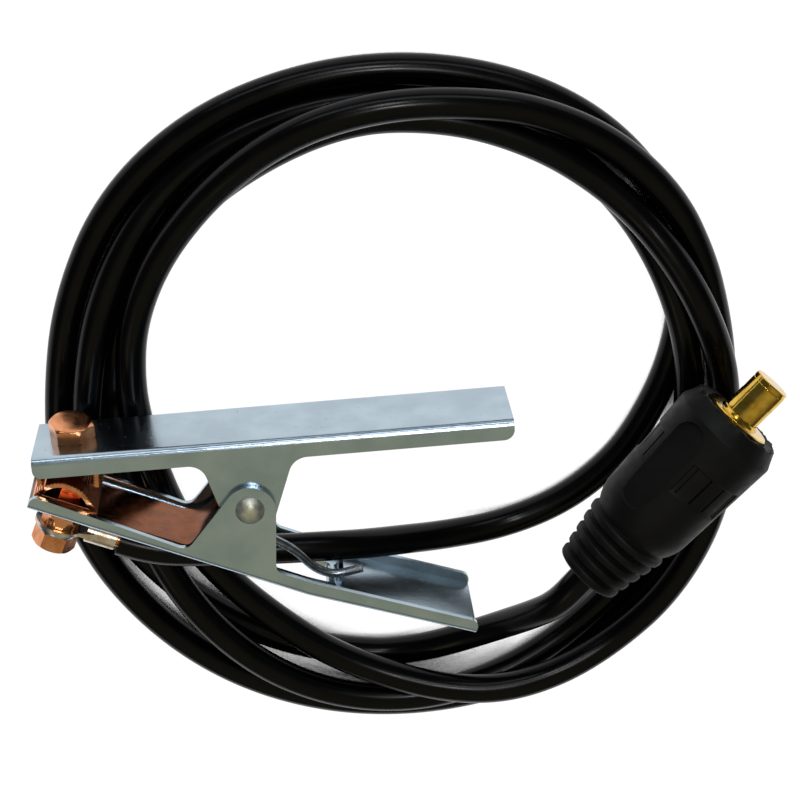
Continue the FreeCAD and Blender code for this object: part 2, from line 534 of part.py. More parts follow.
def plug_pieces():
    """Boot, brass body and what it holds, built along X from the boot's rear end."""
    face = BOOT_LENGTH - 1.0
    bellows = BOOT_RIBS * BOOT_RIB_PITCH
    outside = [(0, BOOT_REAR_RADIUS - 1.2)]
    for i in range(BOOT_RIBS):
        at = i * BOOT_RIB_PITCH
        grow = (BOOT_NECK_RADIUS - BOOT_REAR_RADIUS) * i / (BOOT_RIBS - 1)
        outside += [(at + 0.5, BOOT_REAR_RADIUS + grow), (at + BOOT_RIB_PITCH - 1.4, BOOT_REAR_RADIUS + grow + 0.3),
                    (at + BOOT_RIB_PITCH - 1.0, BOOT_REAR_RADIUS + grow - 1.0),
                    (at + BOOT_RIB_PITCH - 0.1, BOOT_REAR_RADIUS + grow - 0.9)]
    outside += [(bellows + 0.6, BOOT_NECK_RADIUS - 0.3), (bellows + 6.0, BOOT_BODY_RADIUS),
                (BOOT_LENGTH - 6.5, BOOT_FRONT_RADIUS), (BOOT_LENGTH, BOOT_LIP_RADIUS)]
    body_start = face - BODY_LENGTH
    mouth = COLLAR_RADIUS + BOOT_BORE_GAP
    bore = BODY_RADIUS + BOOT_BORE_GAP
    cable = CABLE_RADIUS + BOOT_BORE_GAP
    inside = [(BOOT_LENGTH, mouth), (face - COLLAR_THICK - BOOT_BORE_GAP, mouth),
              (face - COLLAR_THICK - BOOT_BORE_GAP, bore), (body_start - BOOT_BORE_GAP, bore),
              (body_start - BOOT_BORE_GAP, cable), (0, cable)]
    boot = turned(outside + inside)
    brass = turned([(body_start, 0), (body_start, BODY_RADIUS), (face - COLLAR_THICK, BODY_RADIUS),
                    (face - COLLAR_THICK, COLLAR_RADIUS), (face - 0.6, COLLAR_RADIUS), (face, COLLAR_RADIUS - 0.6),
                    (face, PIN_RADIUS), (face + PIN_LENGTH * 0.52, PIN_RADIUS),
                    (face + PIN_LENGTH * 0.54, PIN_RADIUS - PIN_STEP),
                    (face + PIN_LENGTH - 0.8, PIN_RADIUS - PIN_STEP), (face + PIN_LENGTH, PIN_RADIUS - 1.1),
                    (face + PIN_LENGTH, 0)])
    flats = Part.makeBox(COLLAR_THICK * 3, COLLAR_RADIUS, 4 * COLLAR_RADIUS,
                         Vector(face - COLLAR_THICK, COLLAR_FLAT, -2 * COLLAR_RADIUS))
    keep_pin = rod(BODY_RADIUS, Vector(face - COLLAR_THICK, 0, 0), Vector(face + PIN_LENGTH, 0, 0))
    brass = brass.cut(flats.cut(keep_pin)).cut(flats.mirror(Vector(0, 0, 0), Vector(0, 1, 0)).cut(keep_pin))
    nose = Part.makeBox(NOSE_LENGTH, PIN_RADIUS, NOSE_WIDTH, Vector(face + PIN_LENGTH * 0.7, -PIN_RADIUS, -NOSE_WIDTH / 2))
    nose = nose.common(rod(PIN_RADIUS, Vector(face, 0, 0), Vector(face + PIN_LENGTH, 0, 0)))
    brass = brass.fuse(nose).removeSplitter()
    ferrule_outer = CONDUCTOR_RADIUS + SEAT_CLEARANCE + FERRULE_WALL
    socket_end = body_start + SOCKET_DEPTH
    brass = brass.cut(rod(ferrule_outer + SEAT_CLEARANCE, Vector(body_start - 1, 0, 0), Vector(socket_end, 0, 0)))
    ferrule = rod(ferrule_outer, Vector(body_start, 0, 0), Vector(socket_end - 1, 0, 0)).cut(
        rod(CONDUCTOR_RADIUS + SEAT_CLEARANCE, Vector(body_start - 1, 0, 0), Vector(socket_end, 0, 0)))
    core = rod(CONDUCTOR_RADIUS, Vector(body_start - 2, 0, 0), Vector(socket_end - 1.5, 0, 0))
    grubs = []
    for i in range(2):
        at = body_start + 7 + i * GRUB_SPACING
        foot, top = Vector(at, 0, ferrule_outer + FACE_GAP), Vector(at, 0, BODY_RADIUS - 0.6)
        brass = brass.cut(rod(GRUB_RADIUS + SEAT_CLEARANCE, Vector(at, 0, 0), Vector(at, 0, BODY_RADIUS + 1)))
        key = hexagon(GRUB_RADIUS, 2.5, top - Vector(0, 0, 2.4), Vector(0, 0, 1))
        grubs.append(rod(GRUB_RADIUS, foot, top).cut(key))
    pieces = {"plug_boot": boot, "plug_pin_body": brass, "plug_ferrule": ferrule, "plug_conductor": core,
              "plug_grub_screws": Part.makeCompound(grubs)}
    place = Placement(Vector(*PLUG_REAR), Rotation(Vector(0, 0, 1), PLUG_TURN))
    for piece in pieces.values():
        piece.Placement = place.multiply(piece.Placement)
    return pieces, place, body_start - 2


def build():
    """Every piece, by node name, and the names of those that belong to the free cord."""
    pieces = {
        "upper_lever": upper_lever(), "lower_lever": lower_lever(), "pivot_rivet": pivot_rivet(),
        "rivet_washer": ring(WASHER_RADIUS, RIVET_RADIUS + SEAT_CLEARANCE,
                             Vector(0, 0, -HALF_LOWER - WASHER_THICK), Vector(0, 0, 1), WASHER_THICK - FACE_GAP),
        "spring_sleeve": spring_sleeve(), "torsion_spring": torsion_spring(),
        "upper_jaw": upper_jaw(), "lower_jaw": lower_jaw(), "bridging_strap": bridging_strap(),
    }
    pieces["upper_jaw_bolt"] = upper_bolt()
    lower, lug_axis = lower_fastening()
    pieces.update(lower)
    clamp = list(pieces)

    # Clamp cable: out of the lug under the web, up through the slot, between the ears, over the far flange,
    # down to the floor and into the coil's inner side
    start = from_lower(-JACKET_START, lug_axis)
    pieces["clamp_cable"] = cable_tube("clamp_cable", [
        tuple(start), tuple(from_lower(-25.0, lug_axis + 0.7)), (-22.0, -19.1, 0), (-5.6, -21.6, 0),
        (8.6, -23.6, 0.0), (24.0, -26.0, -2.5), (37.0, -29.3, -8.2), (50.0, -33.4, -16.9), (65.0, -37.4, -25.4),
        (86.0, -38.6, FLOOR + CABLE_RADIUS + 0.4), (107.0, -32.0, FLOOR + CABLE_RADIUS), (124.0, -20.5, FLOOR + CABLE_RADIUS),
        (134.0, -8.0, FLOOR + CABLE_RADIUS)])
    pieces["cable_coil"] = cable_coil()
    plug, plug_place, core_start = plug_pieces()
    pieces["plug_cable"] = cable_tube("plug_cable", [
        (60.0, -84.3, FLOOR + 8.1), (73.0, -78.8, FLOOR + 12.4), (84.0, -71.7, FLOOR + 19.4), (94.5, -62.4, FLOOR + 30.2),
        (102.5, -54.6, FLOOR + 37.8), tuple(plug_place.multVec(Vector(-2.0, 0, 0))),
        tuple(plug_place.multVec(Vector(core_start, 0, 0)))])
    pieces.update(plug)
    return pieces, clamp


PIECES, CLAMP = build()
box = Part.makeCompound([PIECES[name] for name in CLAMP]).optimalBoundingBox(False)
shift = Vector(box.Center) * -1
print("clamp box", [round(v, 3) for v in (box.XMin, box.XMax, box.YMin, box.YMax, box.ZMin, box.ZMax)],
      "shift", [round(v, 3) for v in shift], "floor", round(FLOOR + shift.z, 3))
for name, shape in PIECES.items():
    shape.translate(shift)
    print(name, "solids", len(shape.Solids), "valid", shape.isValid(), "volume", round(shape.Volume, 1))
    shape.exportStep(f"parts/{name}.step")
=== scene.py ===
"""Looks of a welding earth clamp with its rubber cable and its booted plug.

Lengths in the classes are millimetres from the clamp's rivet axis: X runs to the handles, Y to the upper
lever and Z up along the rivet. `spot` turns them into the frame's metres.
"""
from __future__ import annotations

import logging
import math
from collections.abc import Callable, Iterable, Sequence
from dataclasses import dataclass
from enum import Enum

import bmesh
import bpy
from mathutils import Matrix, Vector, noise


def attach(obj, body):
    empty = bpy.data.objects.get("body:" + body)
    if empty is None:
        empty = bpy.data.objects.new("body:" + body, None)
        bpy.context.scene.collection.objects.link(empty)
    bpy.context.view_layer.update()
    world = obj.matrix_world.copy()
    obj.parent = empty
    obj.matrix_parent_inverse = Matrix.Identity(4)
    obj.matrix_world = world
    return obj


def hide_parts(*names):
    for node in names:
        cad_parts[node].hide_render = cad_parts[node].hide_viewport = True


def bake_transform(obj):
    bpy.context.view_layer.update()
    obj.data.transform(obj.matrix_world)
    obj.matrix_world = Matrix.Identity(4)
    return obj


log = logging.getLogger("earth_clamp")

# shorter names for types
Piece = bpy.types.Object
Tree = bpy.types.NodeTree
Node = bpy.types.Node
Socket = bpy.types.NodeSocket

MM = 0.001
SHIFT = Vector((-7.247, 12.668, 0.010))      # from the rivet axis to the middle of the clamp's own box
FLOOR = -37.35                               # the paper, below the rivet's middle
LOWER_TURN = math.radians(24.8)              # the lower lever hangs this far down about the rivet
UPPER_WEB = 23.5                             # rivet axis to the outside of the upper web
LOWER_WEB = 24.1
SHEET = 2.0                                  # thickness of both levers
FACE_GAP = 0.02                              # between flat faces that are clamped together
UPPER_BOLT_AT = 56.5                         # rivet axis to the upper jaw's bolt, along the web
LOWER_BOLT_AT = 55.9
RUBBER_IOR = 1.5

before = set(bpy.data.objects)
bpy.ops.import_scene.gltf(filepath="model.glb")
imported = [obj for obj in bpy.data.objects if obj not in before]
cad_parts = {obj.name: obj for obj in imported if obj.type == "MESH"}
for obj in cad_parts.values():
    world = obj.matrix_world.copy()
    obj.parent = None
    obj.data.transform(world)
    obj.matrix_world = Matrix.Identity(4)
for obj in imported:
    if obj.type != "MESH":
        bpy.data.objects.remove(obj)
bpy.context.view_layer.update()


class Body(Enum):
    """The clamp's two bodies, one each side of the rivet."""

    LOWER = "lower_arm"
    UPPER = "upper_arm"


class Part(Enum):
    """What an edit-mode selection is made of."""

    FACE = "FACE"
    EDGE = "EDGE"
    VERT = "VERT"


def spot(x: float, y: float, z: float = 0.0) -> Vector:
    """The frame's point, in metres, of one given in millimetres from the rivet axis."""
    return (Vector((x, y, z)) + SHIFT) * MM


def lower_spot(x: float, y: float, z: float = 0.0) -> Vector:
    """The same for a point written along the lower lever."""
    turned_point = Matrix.Rotation(-LOWER_TURN, 3, "Z") @ Vector((x, y, z))
    return spot(*turned_point)


def linear(colour: str) -> tuple[float, float, float, float]:
    """Turns an sRGB hex colour into the linear one that a shader takes.

    Args:
        colour: six hex digits with a leading #.

    Returns:
        Red, green, blue and a full alpha.
    """
    levels = [int(colour[i:i + 2], 16) / 255 for i in (1, 3, 5)]
    return (*(v / 12.92 if v <= 0.04045 else ((v + 0.055) / 1.055) ** 2.4 for v in levels), 1.0)


def fill(tree: Tree, node: Node, inputs: dict) -> None:
    """Fills a node's inputs.

    Args:
        tree: the nodes that it belongs to.
        node: the node.
        inputs: a value, or another node's output, for each input by name or number.
    """
    for key, value in inputs.items():
        if isinstance(value, Socket):
            tree.links.new(value, node.inputs[key])
        else:
            node.inputs[key].default_value = value


def add(tree: Tree, kind: str, inputs: dict | None = None, **settings: object) -> Node:
    """Adds a node with its settings and its links.

    Args:
        tree: the material's or world's nodes.
        kind: the node's type.
        inputs: a value, or another node's output, for each input by name or number.
        settings: the node's own properties.

    Returns:
        The new node.
    """
    node = tree.nodes.new(kind)
    for key, value in settings.items():
        setattr(node, key, value)
    fill(tree, node, inputs or {})
    return node


def reckon(tree: Tree, operation: str, first: object, second: object) -> Socket:
    """The result of a calculation on two terms, each a number or a node's output."""
    return add(tree, "ShaderNodeMath", {0: first, 1: second}, operation=operation).outputs[0]


@dataclass(frozen=True)
class Finish:
    """A surface finish: its material's name, the record's slot, and how the material is made."""

    name: str
    slot: str

    def material(self) -> bpy.types.Material:
        """Makes the finish's material the first time that it is asked for.

        Returns:
            The material, the same one on every call.
        """
        known = bpy.data.materials.get(self.name)
        if known:
            return known
        material = bpy.data.materials.new(self.name)
        material.use_nodes = True
        tree = material.node_tree
        shader = next(node for node in tree.nodes if node.type == "BSDF_PRINCIPLED")
        self.dress(tree, shader)
        return material

    def dress(self, tree: Tree, shader: Node) -> None:
        """Adds the finish's own nodes round the main shader."""
        raise NotImplementedError

    def on(self, piece: Piece) -> None:
        """Puts the finish on a piece, in place of whatever it had."""
        piece.data.materials.clear()
        piece.data.materials.append(self.material())


def grain(tree: Tree, size: float, detail: float, stretch: Sequence[float] | None = None,
          rough: float = 0.5) -> Socket:
    """A noise pattern whose blotches are about a given size on the piece.

    Args:
        tree: the material's nodes.
        size: the blotch's width in millimetres.
        detail: how many finer octaves lie on it.
        stretch: how much each axis is squeezed, for a pattern drawn out along one of them.
        rough: how strong the finer octaves are.

    Returns:
        The pattern's value, about 0.5 on average.
    """
    place = add(tree, "ShaderNodeTexCoord").outputs["Object"]
    if stretch:
        place = add(tree, "ShaderNodeMapping", {"Vector": place, "Scale": stretch}).outputs[0]
    return add(tree, "ShaderNodeTexNoise", {"Vector": place, "Scale": 1000 / size, "Detail": detail,
                                            "Roughness": rough}).outputs[0]


def between(tree: Tree, value: Socket, low: float, high: float, first: float = 0.0, last: float = 1.0
            ) -> Socket:
    """Spreads a pattern's stretch from low to high over first to last, and clamps it there."""
    return add(tree, "ShaderNodeMapRange", {0: value, 1: low, 2: high, 3: first, 4: last}).outputs[0]


def blend_colours(tree: Tree, share: Socket, first: object, second: object) -> Socket:
    """Mixes two colours, each a hex colour or another mix, by a pattern."""
    colours = [linear(c) if isinstance(c, str) else c for c in (first, second)]
    return add(tree, "ShaderNodeMix", {0: share, 6: colours[0], 7: colours[1]}, data_type="RGBA").outputs[2]


def bumps(tree: Tree, height: Socket, depth: float, strength: float, under: Socket | None = None
          ) -> Socket:
    """A bump node of a depth in millimetres, laid over another one where that is given.

    Args:
        tree: the material's nodes.
        height: the pattern to be raised.
        depth: how far, in millimetres.
        strength: how much of it shows.
        under: another bump node's output that this one lies on.

    Returns:
        The bent normal.
    """
    inputs: dict = {"Height": height, "Distance": depth * MM, "Strength": strength}
    if under is not None:
        inputs["Normal"] = under
    return add(tree, "ShaderNodeBump", inputs).outputs[0]


@dataclass(frozen=True)
class ZincPlate(Finish):
    """Bright zinc on pressed steel, blue passivated: a cool mirror, softened by orange peel and smudges."""

    bright: str = "#AFC1CD"
    dull: str = "#A2B3C0"
    soil: str = "#6F6557"

    def dress(self, tree: Tree, shader: Node) -> None:
        """Cool metal with blotches of passivate, brown specks and faint drawing lines.

        Args:
            tree: the material's nodes.
            shader: its main shader.
        """
        blotch = between(tree, grain(tree, 14, 3), 0.35, 0.65)
        tone = blend_colours(tree, blotch, self.bright, self.dull)
        # dirt that a thumb leaves, a millimetre or two wide and far apart
        specks = between(tree, grain(tree, 2.2, 5, rough=0.65), 0.66, 0.74)
        tone = blend_colours(tree, reckon(tree, "MULTIPLY", specks, 0.6), tone, self.soil)
        # lines of the rolled sheet run along the lever; real ones are a few hundredths wide, these 0.25 mm
        lines = grain(tree, 0.25, 1, (0.06, 1, 1))
        smear = grain(tree, 9, 4, rough=0.6)
        rough = reckon(tree, "ADD", between(tree, smear, 0.3, 0.75, 0.19, 0.235),
                       between(tree, lines, 0.3, 0.7, -0.02, 0.03))
        rough = reckon(tree, "ADD", rough, between(tree, specks, 0, 1, 0, 0.2))
        peel = bumps(tree, grain(tree, 0.55, 2), 0.04, 0.8)
        wave = bumps(tree, grain(tree, 9, 1), 0.03, 0.15, peel)
        fill(tree, shader, {"Base Color": tone, "Roughness": rough, "Normal": wave, "Metallic": 1.0})


@dataclass(frozen=True)
class PeenedZinc(Finish):
    """Zinc on a rivet head that was peened cold: grey, dimpled and nearly matt."""

    def dress(self, tree: Tree, shader: Node) -> None:
        """Beige-grey metal, worn paler in patches, with the hammer's dimples.

        Args:
            tree: the material's nodes.
            shader: its main shader.
        """
        worn = between(tree, grain(tree, 2.6, 3), 0.4, 0.68)
        fine = bumps(tree, grain(tree, 0.5, 2), 0.03, 0.5)
        fill(tree, shader, {"Base Color": blend_colours(tree, worn, "#CFCFC0", "#B2B1A4"),
                            "Roughness": between(tree, grain(tree, 1.4, 2), 0.3, 0.7, 0.34, 0.5),
                            "Normal": bumps(tree, grain(tree, 1.9, 1), 0.3, 0.5, fine), "Metallic": 1.0})


@dataclass(frozen=True)
class SpringWire(Finish):
    """Hard-drawn spring wire, zinc flashed: grey with die lines along it and a dull sheen."""

    def dress(self, tree: Tree, shader: Node) -> None:
        """Grey metal with blotches and a slightly uneven gloss.

        Args:
            tree: the material's nodes.
            shader: its main shader.
        """
        tone = blend_colours(tree, between(tree, grain(tree, 3, 3), 0.35, 0.65), "#8C9298", "#6E7276")
        fill(tree, shader, {"Base Color": tone, "Metallic": 1.0,
                            "Roughness": between(tree, grain(tree, 1.5, 3), 0.3, 0.7, 0.2, 0.34),
                            "Normal": bumps(tree, grain(tree, 0.4, 2), 0.01, 0.5)})


@dataclass(frozen=True)
class CopperPlate(Finish):
    """Copper plate over steel or brass, handled: warm and semi-gloss, with browner tarnish in blotches."""

    bright: str = "#E39C6F"
    tarnish: str = "#C27C52"
    rough: float = 0.2

    def dress(self, tree: Tree, shader: Node) -> None:
        """Warm metal, tarnished in blotches, with a fine cast grain.

        Args:
            tree: the material's nodes.
            shader: its main shader.
        """
        patch = between(tree, grain(tree, 5, 5, rough=0.6), 0.42, 0.66)
        tone = blend_colours(tree, patch, self.bright, self.tarnish)
        fleck = between(tree, grain(tree, 0.7, 3), 0.64, 0.78, 0, 0.35)
        tone = blend_colours(tree, fleck, tone, "#7A452B")
        rough = between(tree, grain(tree, 2.4, 4), 0.3, 0.7, self.rough - 0.05, self.rough + 0.07)
        cast = bumps(tree, grain(tree, 0.4, 2), 0.016, 0.5)
        fill(tree, shader, {"Base Color": tone, "Roughness": rough, "Metallic": 1.0,
                            "Normal": bumps(tree, grain(tree, 4, 1), 0.04, 0.25, cast)})


@dataclass(frozen=True)
class TinnedCopper(Finish):
    """Copper lug, hot tinned: pale warm silver that is a little cloudy, with copper just showing through."""

    def dress(self, tree: Tree, shader: Node) -> None:
        """Pale metal with a cloudy gloss and a trace of copper.

        Args:
            tree: the material's nodes.
            shader: its main shader.
        """
        cloud = between(tree, grain(tree, 4, 4), 0.35, 0.68)
        tone = blend_colours(tree, cloud, "#DAD0C2", "#B59A86")
        fill(tree, shader, {"Base Color": tone, "Roughness": between(tree, cloud, 0, 1, 0.2, 0.38),
                            "Normal": bumps(tree, grain(tree, 1.2, 3), 0.03, 0.5), "Metallic": 1.0})


@dataclass(frozen=True)
class TurnedBrass(Finish):
    """Turned brass rod: pale gold and bright, with fine tool rings that blur it a little."""

    ring_step: float = 0.5           # millimetres from one tool ring to the next

    def dress(self, tree: Tree, shader: Node) -> None:
        """Pale gold metal with slight stains and the lathe's rings.

        Args:
            tree: the material's nodes.
            shader: its main shader.
        """
        stain = between(tree, grain(tree, 3.5, 4), 0.4, 0.7)
        tone = blend_colours(tree, stain, "#DDB64E", "#BE9230")
        # a tool advances a tenth of a millimetre a turn; the rings along the pin are drawn wider apart
        axis = add(tree, "ShaderNodeMapping", {"Vector": add(tree, "ShaderNodeTexCoord").outputs["Object"],
                                               "Rotation": (0, 0, -math.radians(Plug.turn))}).outputs[0]
        scale = 1000 / self.ring_step / (2 * math.pi) * 2
        rings = add(tree, "ShaderNodeTexWave", {"Vector": axis, "Scale": scale, "Distortion": 0.4,
                                                "Detail": 1.0}).outputs[1]
        fill(tree, shader, {"Base Color": tone, "Normal": bumps(tree, rings, 0.004, 0.35), "Metallic": 1.0,
                            "Roughness": between(tree, grain(tree, 2.5, 3), 0.3, 0.7, 0.1, 0.2)})


@dataclass(frozen=True)
class JacketRubber(Finish):
    """Extruded neoprene jacket, new: black and glossy, so that a lamp draws a thin line along it."""

    def dress(self, tree: Tree, shader: Node) -> None:
        """Black rubber with dusty blotches and the extruder's faint unevenness.

        Args:
            tree: the material's nodes.
            shader: its main shader.
        """
        dust = between(tree, grain(tree, 18, 5, rough=0.6), 0.45, 0.75)
        tone = blend_colours(tree, dust, "#030304", "#080707")
        fill(tree, shader, {"Base Color": tone, "IOR": RUBBER_IOR, "Specular IOR Level": 0.13,
                            "Roughness": between(tree, grain(tree, 14, 3), 0.35, 0.7, 0.2, 0.28),
                            "Normal": bumps(tree, grain(tree, 30, 1), 0.08, 0.3)})


@dataclass(frozen=True)
class BootRubber(Finish):
    """Moulded soft rubber with mould-release bloom: charcoal, nearly matt, paler where it is rubbed."""

    def dress(self, tree: Tree, shader: Node) -> None:
        """Charcoal rubber with a bloom in blotches and a fine moulded grain.

        Args:
            tree: the material's nodes.
            shader: its main shader.
        """
        bloom = between(tree, grain(tree, 11, 5, rough=0.6), 0.36, 0.68)
        tone = blend_colours(tree, bloom, "#040404", "#0A0A0A")
        speck = between(tree, grain(tree, 0.5, 3), 0.6, 0.75, 0, 0.5)
        tone = blend_colours(tree, speck, tone, "#131211")
        fine = bumps(tree, grain(tree, 0.55, 3), 0.05, 0.55)
        fill(tree, shader, {"Base Color": tone, "IOR": RUBBER_IOR, "Specular IOR Level": 0.16,
                            "Roughness": between(tree, grain(tree, 4, 4), 0.3, 0.7, 0.46, 0.62),
                            "Normal": bumps(tree, grain(tree, 5, 2), 0.15, 0.3, fine)})


@dataclass(frozen=True)
class PaperFloor(Finish):
    """White seamless paper: plain white to the camera and in the metal, with the part's soft shadow on it and
    painted shade in the narrow gaps between strands.
    """

    glow: float = 0.98
    reach: float = 20.0              # millimetres over which strands close together darken the paper's glow, as painted shade

    def dress(self, tree: Tree, shader: Node) -> None:
        """Pale diffuse paper, brightened only for what sees it directly or in a reflection; the brightening
        fades in narrow gaps by ambient occlusion, as painted shade.

        Args:
            tree: the material's nodes.
            shader: its main shader.
        """
        fill(tree, shader, {"Base Color": linear("#646464"), "Roughness": 1.0, "Specular IOR Level": 0.0})
        path = add(tree, "ShaderNodeLightPath").outputs
        seen = reckon(tree, "MAXIMUM", path["Is Camera Ray"], path["Is Glossy Ray"])
        seen = reckon(tree, "MAXIMUM", seen, path["Is Transmission Ray"])
        # ambient occlusion fades the glow to nothing in narrow gaps between strands: painted shade
        painted_shade_openness = add(tree, "ShaderNodeAmbientOcclusion", {"Distance": self.reach * MM}, samples=8).outputs["AO"]
        strength = reckon(tree, "MULTIPLY", seen, between(tree, painted_shade_openness, 0.29, 0.37, 0, self.glow))
        light = add(tree, "ShaderNodeEmission", {"Color": linear("#FFFFFF"), "Strength": strength})
        both = add(tree, "ShaderNodeAddShader", {0: shader.outputs[0], 1: light.outputs[0]})
        end = next(node for node in tree.nodes if node.type == "OUTPUT_MATERIAL")
        tree.links.new(both.outputs[0], end.inputs["Surface"])


ZINC = ZincPlate("zinc plated steel, blue passivated", "zinc_plated_steel")
RIVET = PeenedZinc("zinc plated steel, peened", "zinc_plated_steel")
# a darker copy of the copper for the nut inside the lower jaw: its darkness is painted shade, not tarnish
SHADE_DARKENED_COPPER = CopperPlate("copper plate, darkened as painted shade", "copper_plate", "#8E4E30", "#5C2D1B", 0.3)
SPRING = SpringWire("spring steel, hard drawn", "spring_steel")
COPPER = CopperPlate("copper plate, handled", "copper_plate")
SHEET_COPPER = CopperPlate("copper sheet, rolled", "copper_sheet", "#80451A", "#6C3814")
TIN = TinnedCopper("copper lug, hot tinned", "tinned_copper")
STRANDS = CopperPlate("copper strands, bare", "bare_copper", "#E09A6C", "#B06A44", 0.24)
JACKET = JacketRubber("neoprene jacket, extruded", "black_rubber")
BOOT = BootRubber("soft rubber, moulded", "boot_rubber")
BRASS = TurnedBrass("brass rod, turned", "brass")
PAPER = PaperFloor("white paper, seamless", "")


def activate(piece: Piece) -> None:
    """Makes one piece the only selected object.

    Args:
        piece: the object.
    """
    bpy.ops.object.select_all(action="DESELECT")
    piece.select_set(True)
    bpy.context.view_layer.objects.active = piece


def edit(piece: Piece, kind: Part) -> None:
    """Opens a piece in edit mode with nothing selected.

    Args:
        piece: the object.
        kind: what will be selected in it.
    """
    activate(piece)
    bpy.ops.object.mode_set(mode="EDIT")
    bpy.ops.mesh.select_mode(type=kind.value)
    bpy.ops.mesh.select_all(action="DESELECT")


def leave() -> None:
    """Goes back to object mode."""
    bpy.ops.object.mode_set(mode="OBJECT")


def pick(piece: Piece, kind: Part, test: Callable[[Vector, Vector], bool]) -> None:
    """Selects, in edit mode, only the elements that pass a test.

    Args:
        piece: the object that is being edited.
        kind: faces, edges or vertices.
        test: takes an element's middle and its normal, or an edge's direction.
    """
    bpy.ops.mesh.select_mode(type=kind.value)
    bpy.ops.mesh.select_all(action="DESELECT")
    mesh = bmesh.from_edit_mesh(piece.data)
    mesh.normal_update()
    for item in {Part.FACE: mesh.faces, Part.EDGE: mesh.edges, Part.VERT: mesh.verts}[kind]:
        if kind is Part.FACE:
            chosen = test(item.calc_center_median(), item.normal)
        elif kind is Part.EDGE:
            ends = [v.co for v in item.verts]
            chosen = test((ends[0] + ends[1]) / 2, (ends[1] - ends[0]).normalized())
        else:
            chosen = test(item.co, item.normal)
        if chosen:
            item.select_set(True)
    mesh.select_flush_mode()
    bmesh.update_edit_mesh(piece.data)


def tidy_mesh(piece: Piece) -> None:
    """Merges doubled points, then turns every face outwards.

    Args:
        piece: a mesh in object mode.
    """
    edit(piece, Part.VERT)
    bpy.ops.mesh.select_all(action="SELECT")
    bpy.ops.mesh.remove_doubles(threshold=1e-6)
    bpy.ops.mesh.normals_make_consistent(inside=False)
    leave()


def settle(piece: Piece, place: Matrix | None = None) -> None:
    """Puts a piece's place into its mesh, so that its object sits at the origin.

    Args:
        piece: the object.
        place: a move to make first, in the frame's metres.
    """
    if place is not None:
        piece.matrix_world = place @ piece.matrix_world
    activate(piece)
    bpy.ops.object.transform_apply(location=True, rotation=True, scale=True)


def modify(piece: Piece, kind: str, **settings: object) -> None:
    """Adds a modifier with its settings and applies it.

    Args:
        piece: a mesh in object mode.
        kind: the modifier's type.
        settings: the modifier's own properties.
    """
    activate(piece)
    modifier = piece.modifiers.new(kind.title(), kind)
    for key, value in settings.items():
        setattr(modifier, key, value)
    bpy.ops.object.modifier_apply(modifier=modifier.name)


def soften(piece: Piece, width: float, segments: int = 2, angle: float = 32.0) -> None:
    """Rounds a piece's sharp edges and shades it smooth between them.

    Args:
        piece: a closed mesh.
        width: the round's width in millimetres.
        segments: how many facets each round has.
        angle: the least angle, in degrees, that counts as an edge.
    """
    modify(piece, "BEVEL", width=width * MM, segments=segments, limit_method="ANGLE",
           angle_limit=math.radians(angle), harden_normals=False,
           miter_outer="MITER_ARC" if segments > 1 else "MITER_SHARP")
    activate(piece)
    bpy.ops.object.shade_smooth_by_angle(angle=math.radians(35))
    modify(piece, "WEIGHTED_NORMAL", weight=80, keep_sharp=True)


def name_piece(name: str) -> Piece:
    """Names the object that an operator has just made.

    Args:
        name: its new name, and its mesh's.

    Returns:
        The object.
    """
    piece = bpy.context.view_layer.objects.active
    piece.name = name
    piece.data.name = name
    return piece


def from_frame(node: str, name: str) -> Piece:
    """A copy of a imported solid, its triangles merged and its flat faces made whole, ready to be worked on.

    Args:
        node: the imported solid.
        name: the copy's name.

    Returns:
        The copy.
    """
    piece = bpy.data.objects.new(name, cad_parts[node].data.copy())
    piece.data.name = name
    bpy.context.scene.collection.objects.link(piece)
    activate(piece)
    if piece.data.has_custom_normals:
        bpy.ops.mesh.customdata_custom_splitnormals_clear()
    edit(piece, Part.VERT)
    bpy.ops.mesh.select_all(action="SELECT")
    bpy.ops.mesh.remove_doubles(threshold=2e-6)
    bpy.ops.mesh.dissolve_limited(angle_limit=math.radians(0.4))
    leave()
    return piece


def turned(name: str, stations: Iterable[tuple[float, float]], segments: int, ring: bool = False
           ) -> Piece:
    """A shape turned about X: a circle drawn out and resized, station by station.

    Args:
        name: the piece's name.
        stations: distance along X and radius, in millimetres, one after the other.
        segments: how many sides the circle has.
        ring: whether the last station joins the first, instead of each end having its own cap.

    Returns:
        The closed piece, still at the origin.
    """
    (at, radius), *rest = stations
    bpy.ops.object.select_all(action="DESELECT")
    bpy.ops.mesh.primitive_circle_add(vertices=segments, radius=radius * MM, fill_type="NOTHING",
                                      location=(at * MM, 0, 0), rotation=(0, math.pi / 2, 0))
    piece = name_piece(name)
    settle(piece)
    edit(piece, Part.EDGE)
    bpy.ops.mesh.select_all(action="SELECT")
    if not ring:
        bpy.ops.mesh.edge_face_add()
        bpy.ops.mesh.select_all(action="SELECT")
    here, size = at, radius
    for along, wide in ([*rest, (at, radius)] if ring else rest):
        bpy.ops.mesh.extrude_edges_move(TRANSFORM_OT_translate={"value": ((along - here) * MM, 0, 0)})
        scale = wide / size
        bpy.ops.transform.resize(value=(1, scale, scale), center_override=(along * MM, 0, 0))
        here, size = along, wide
    if not ring:
        bpy.ops.mesh.edge_face_add()
    leave()
    tidy_mesh(piece)
    return piece


def carve(piece: Piece, cutter: Piece, operation: str = "DIFFERENCE") -> None:
    """Cuts one closed mesh out of another, and throws the cutter away."""
    modify(piece, "BOOLEAN", object=cutter, operation=operation, solver="EXACT")
    bpy.data.objects.remove(cutter)


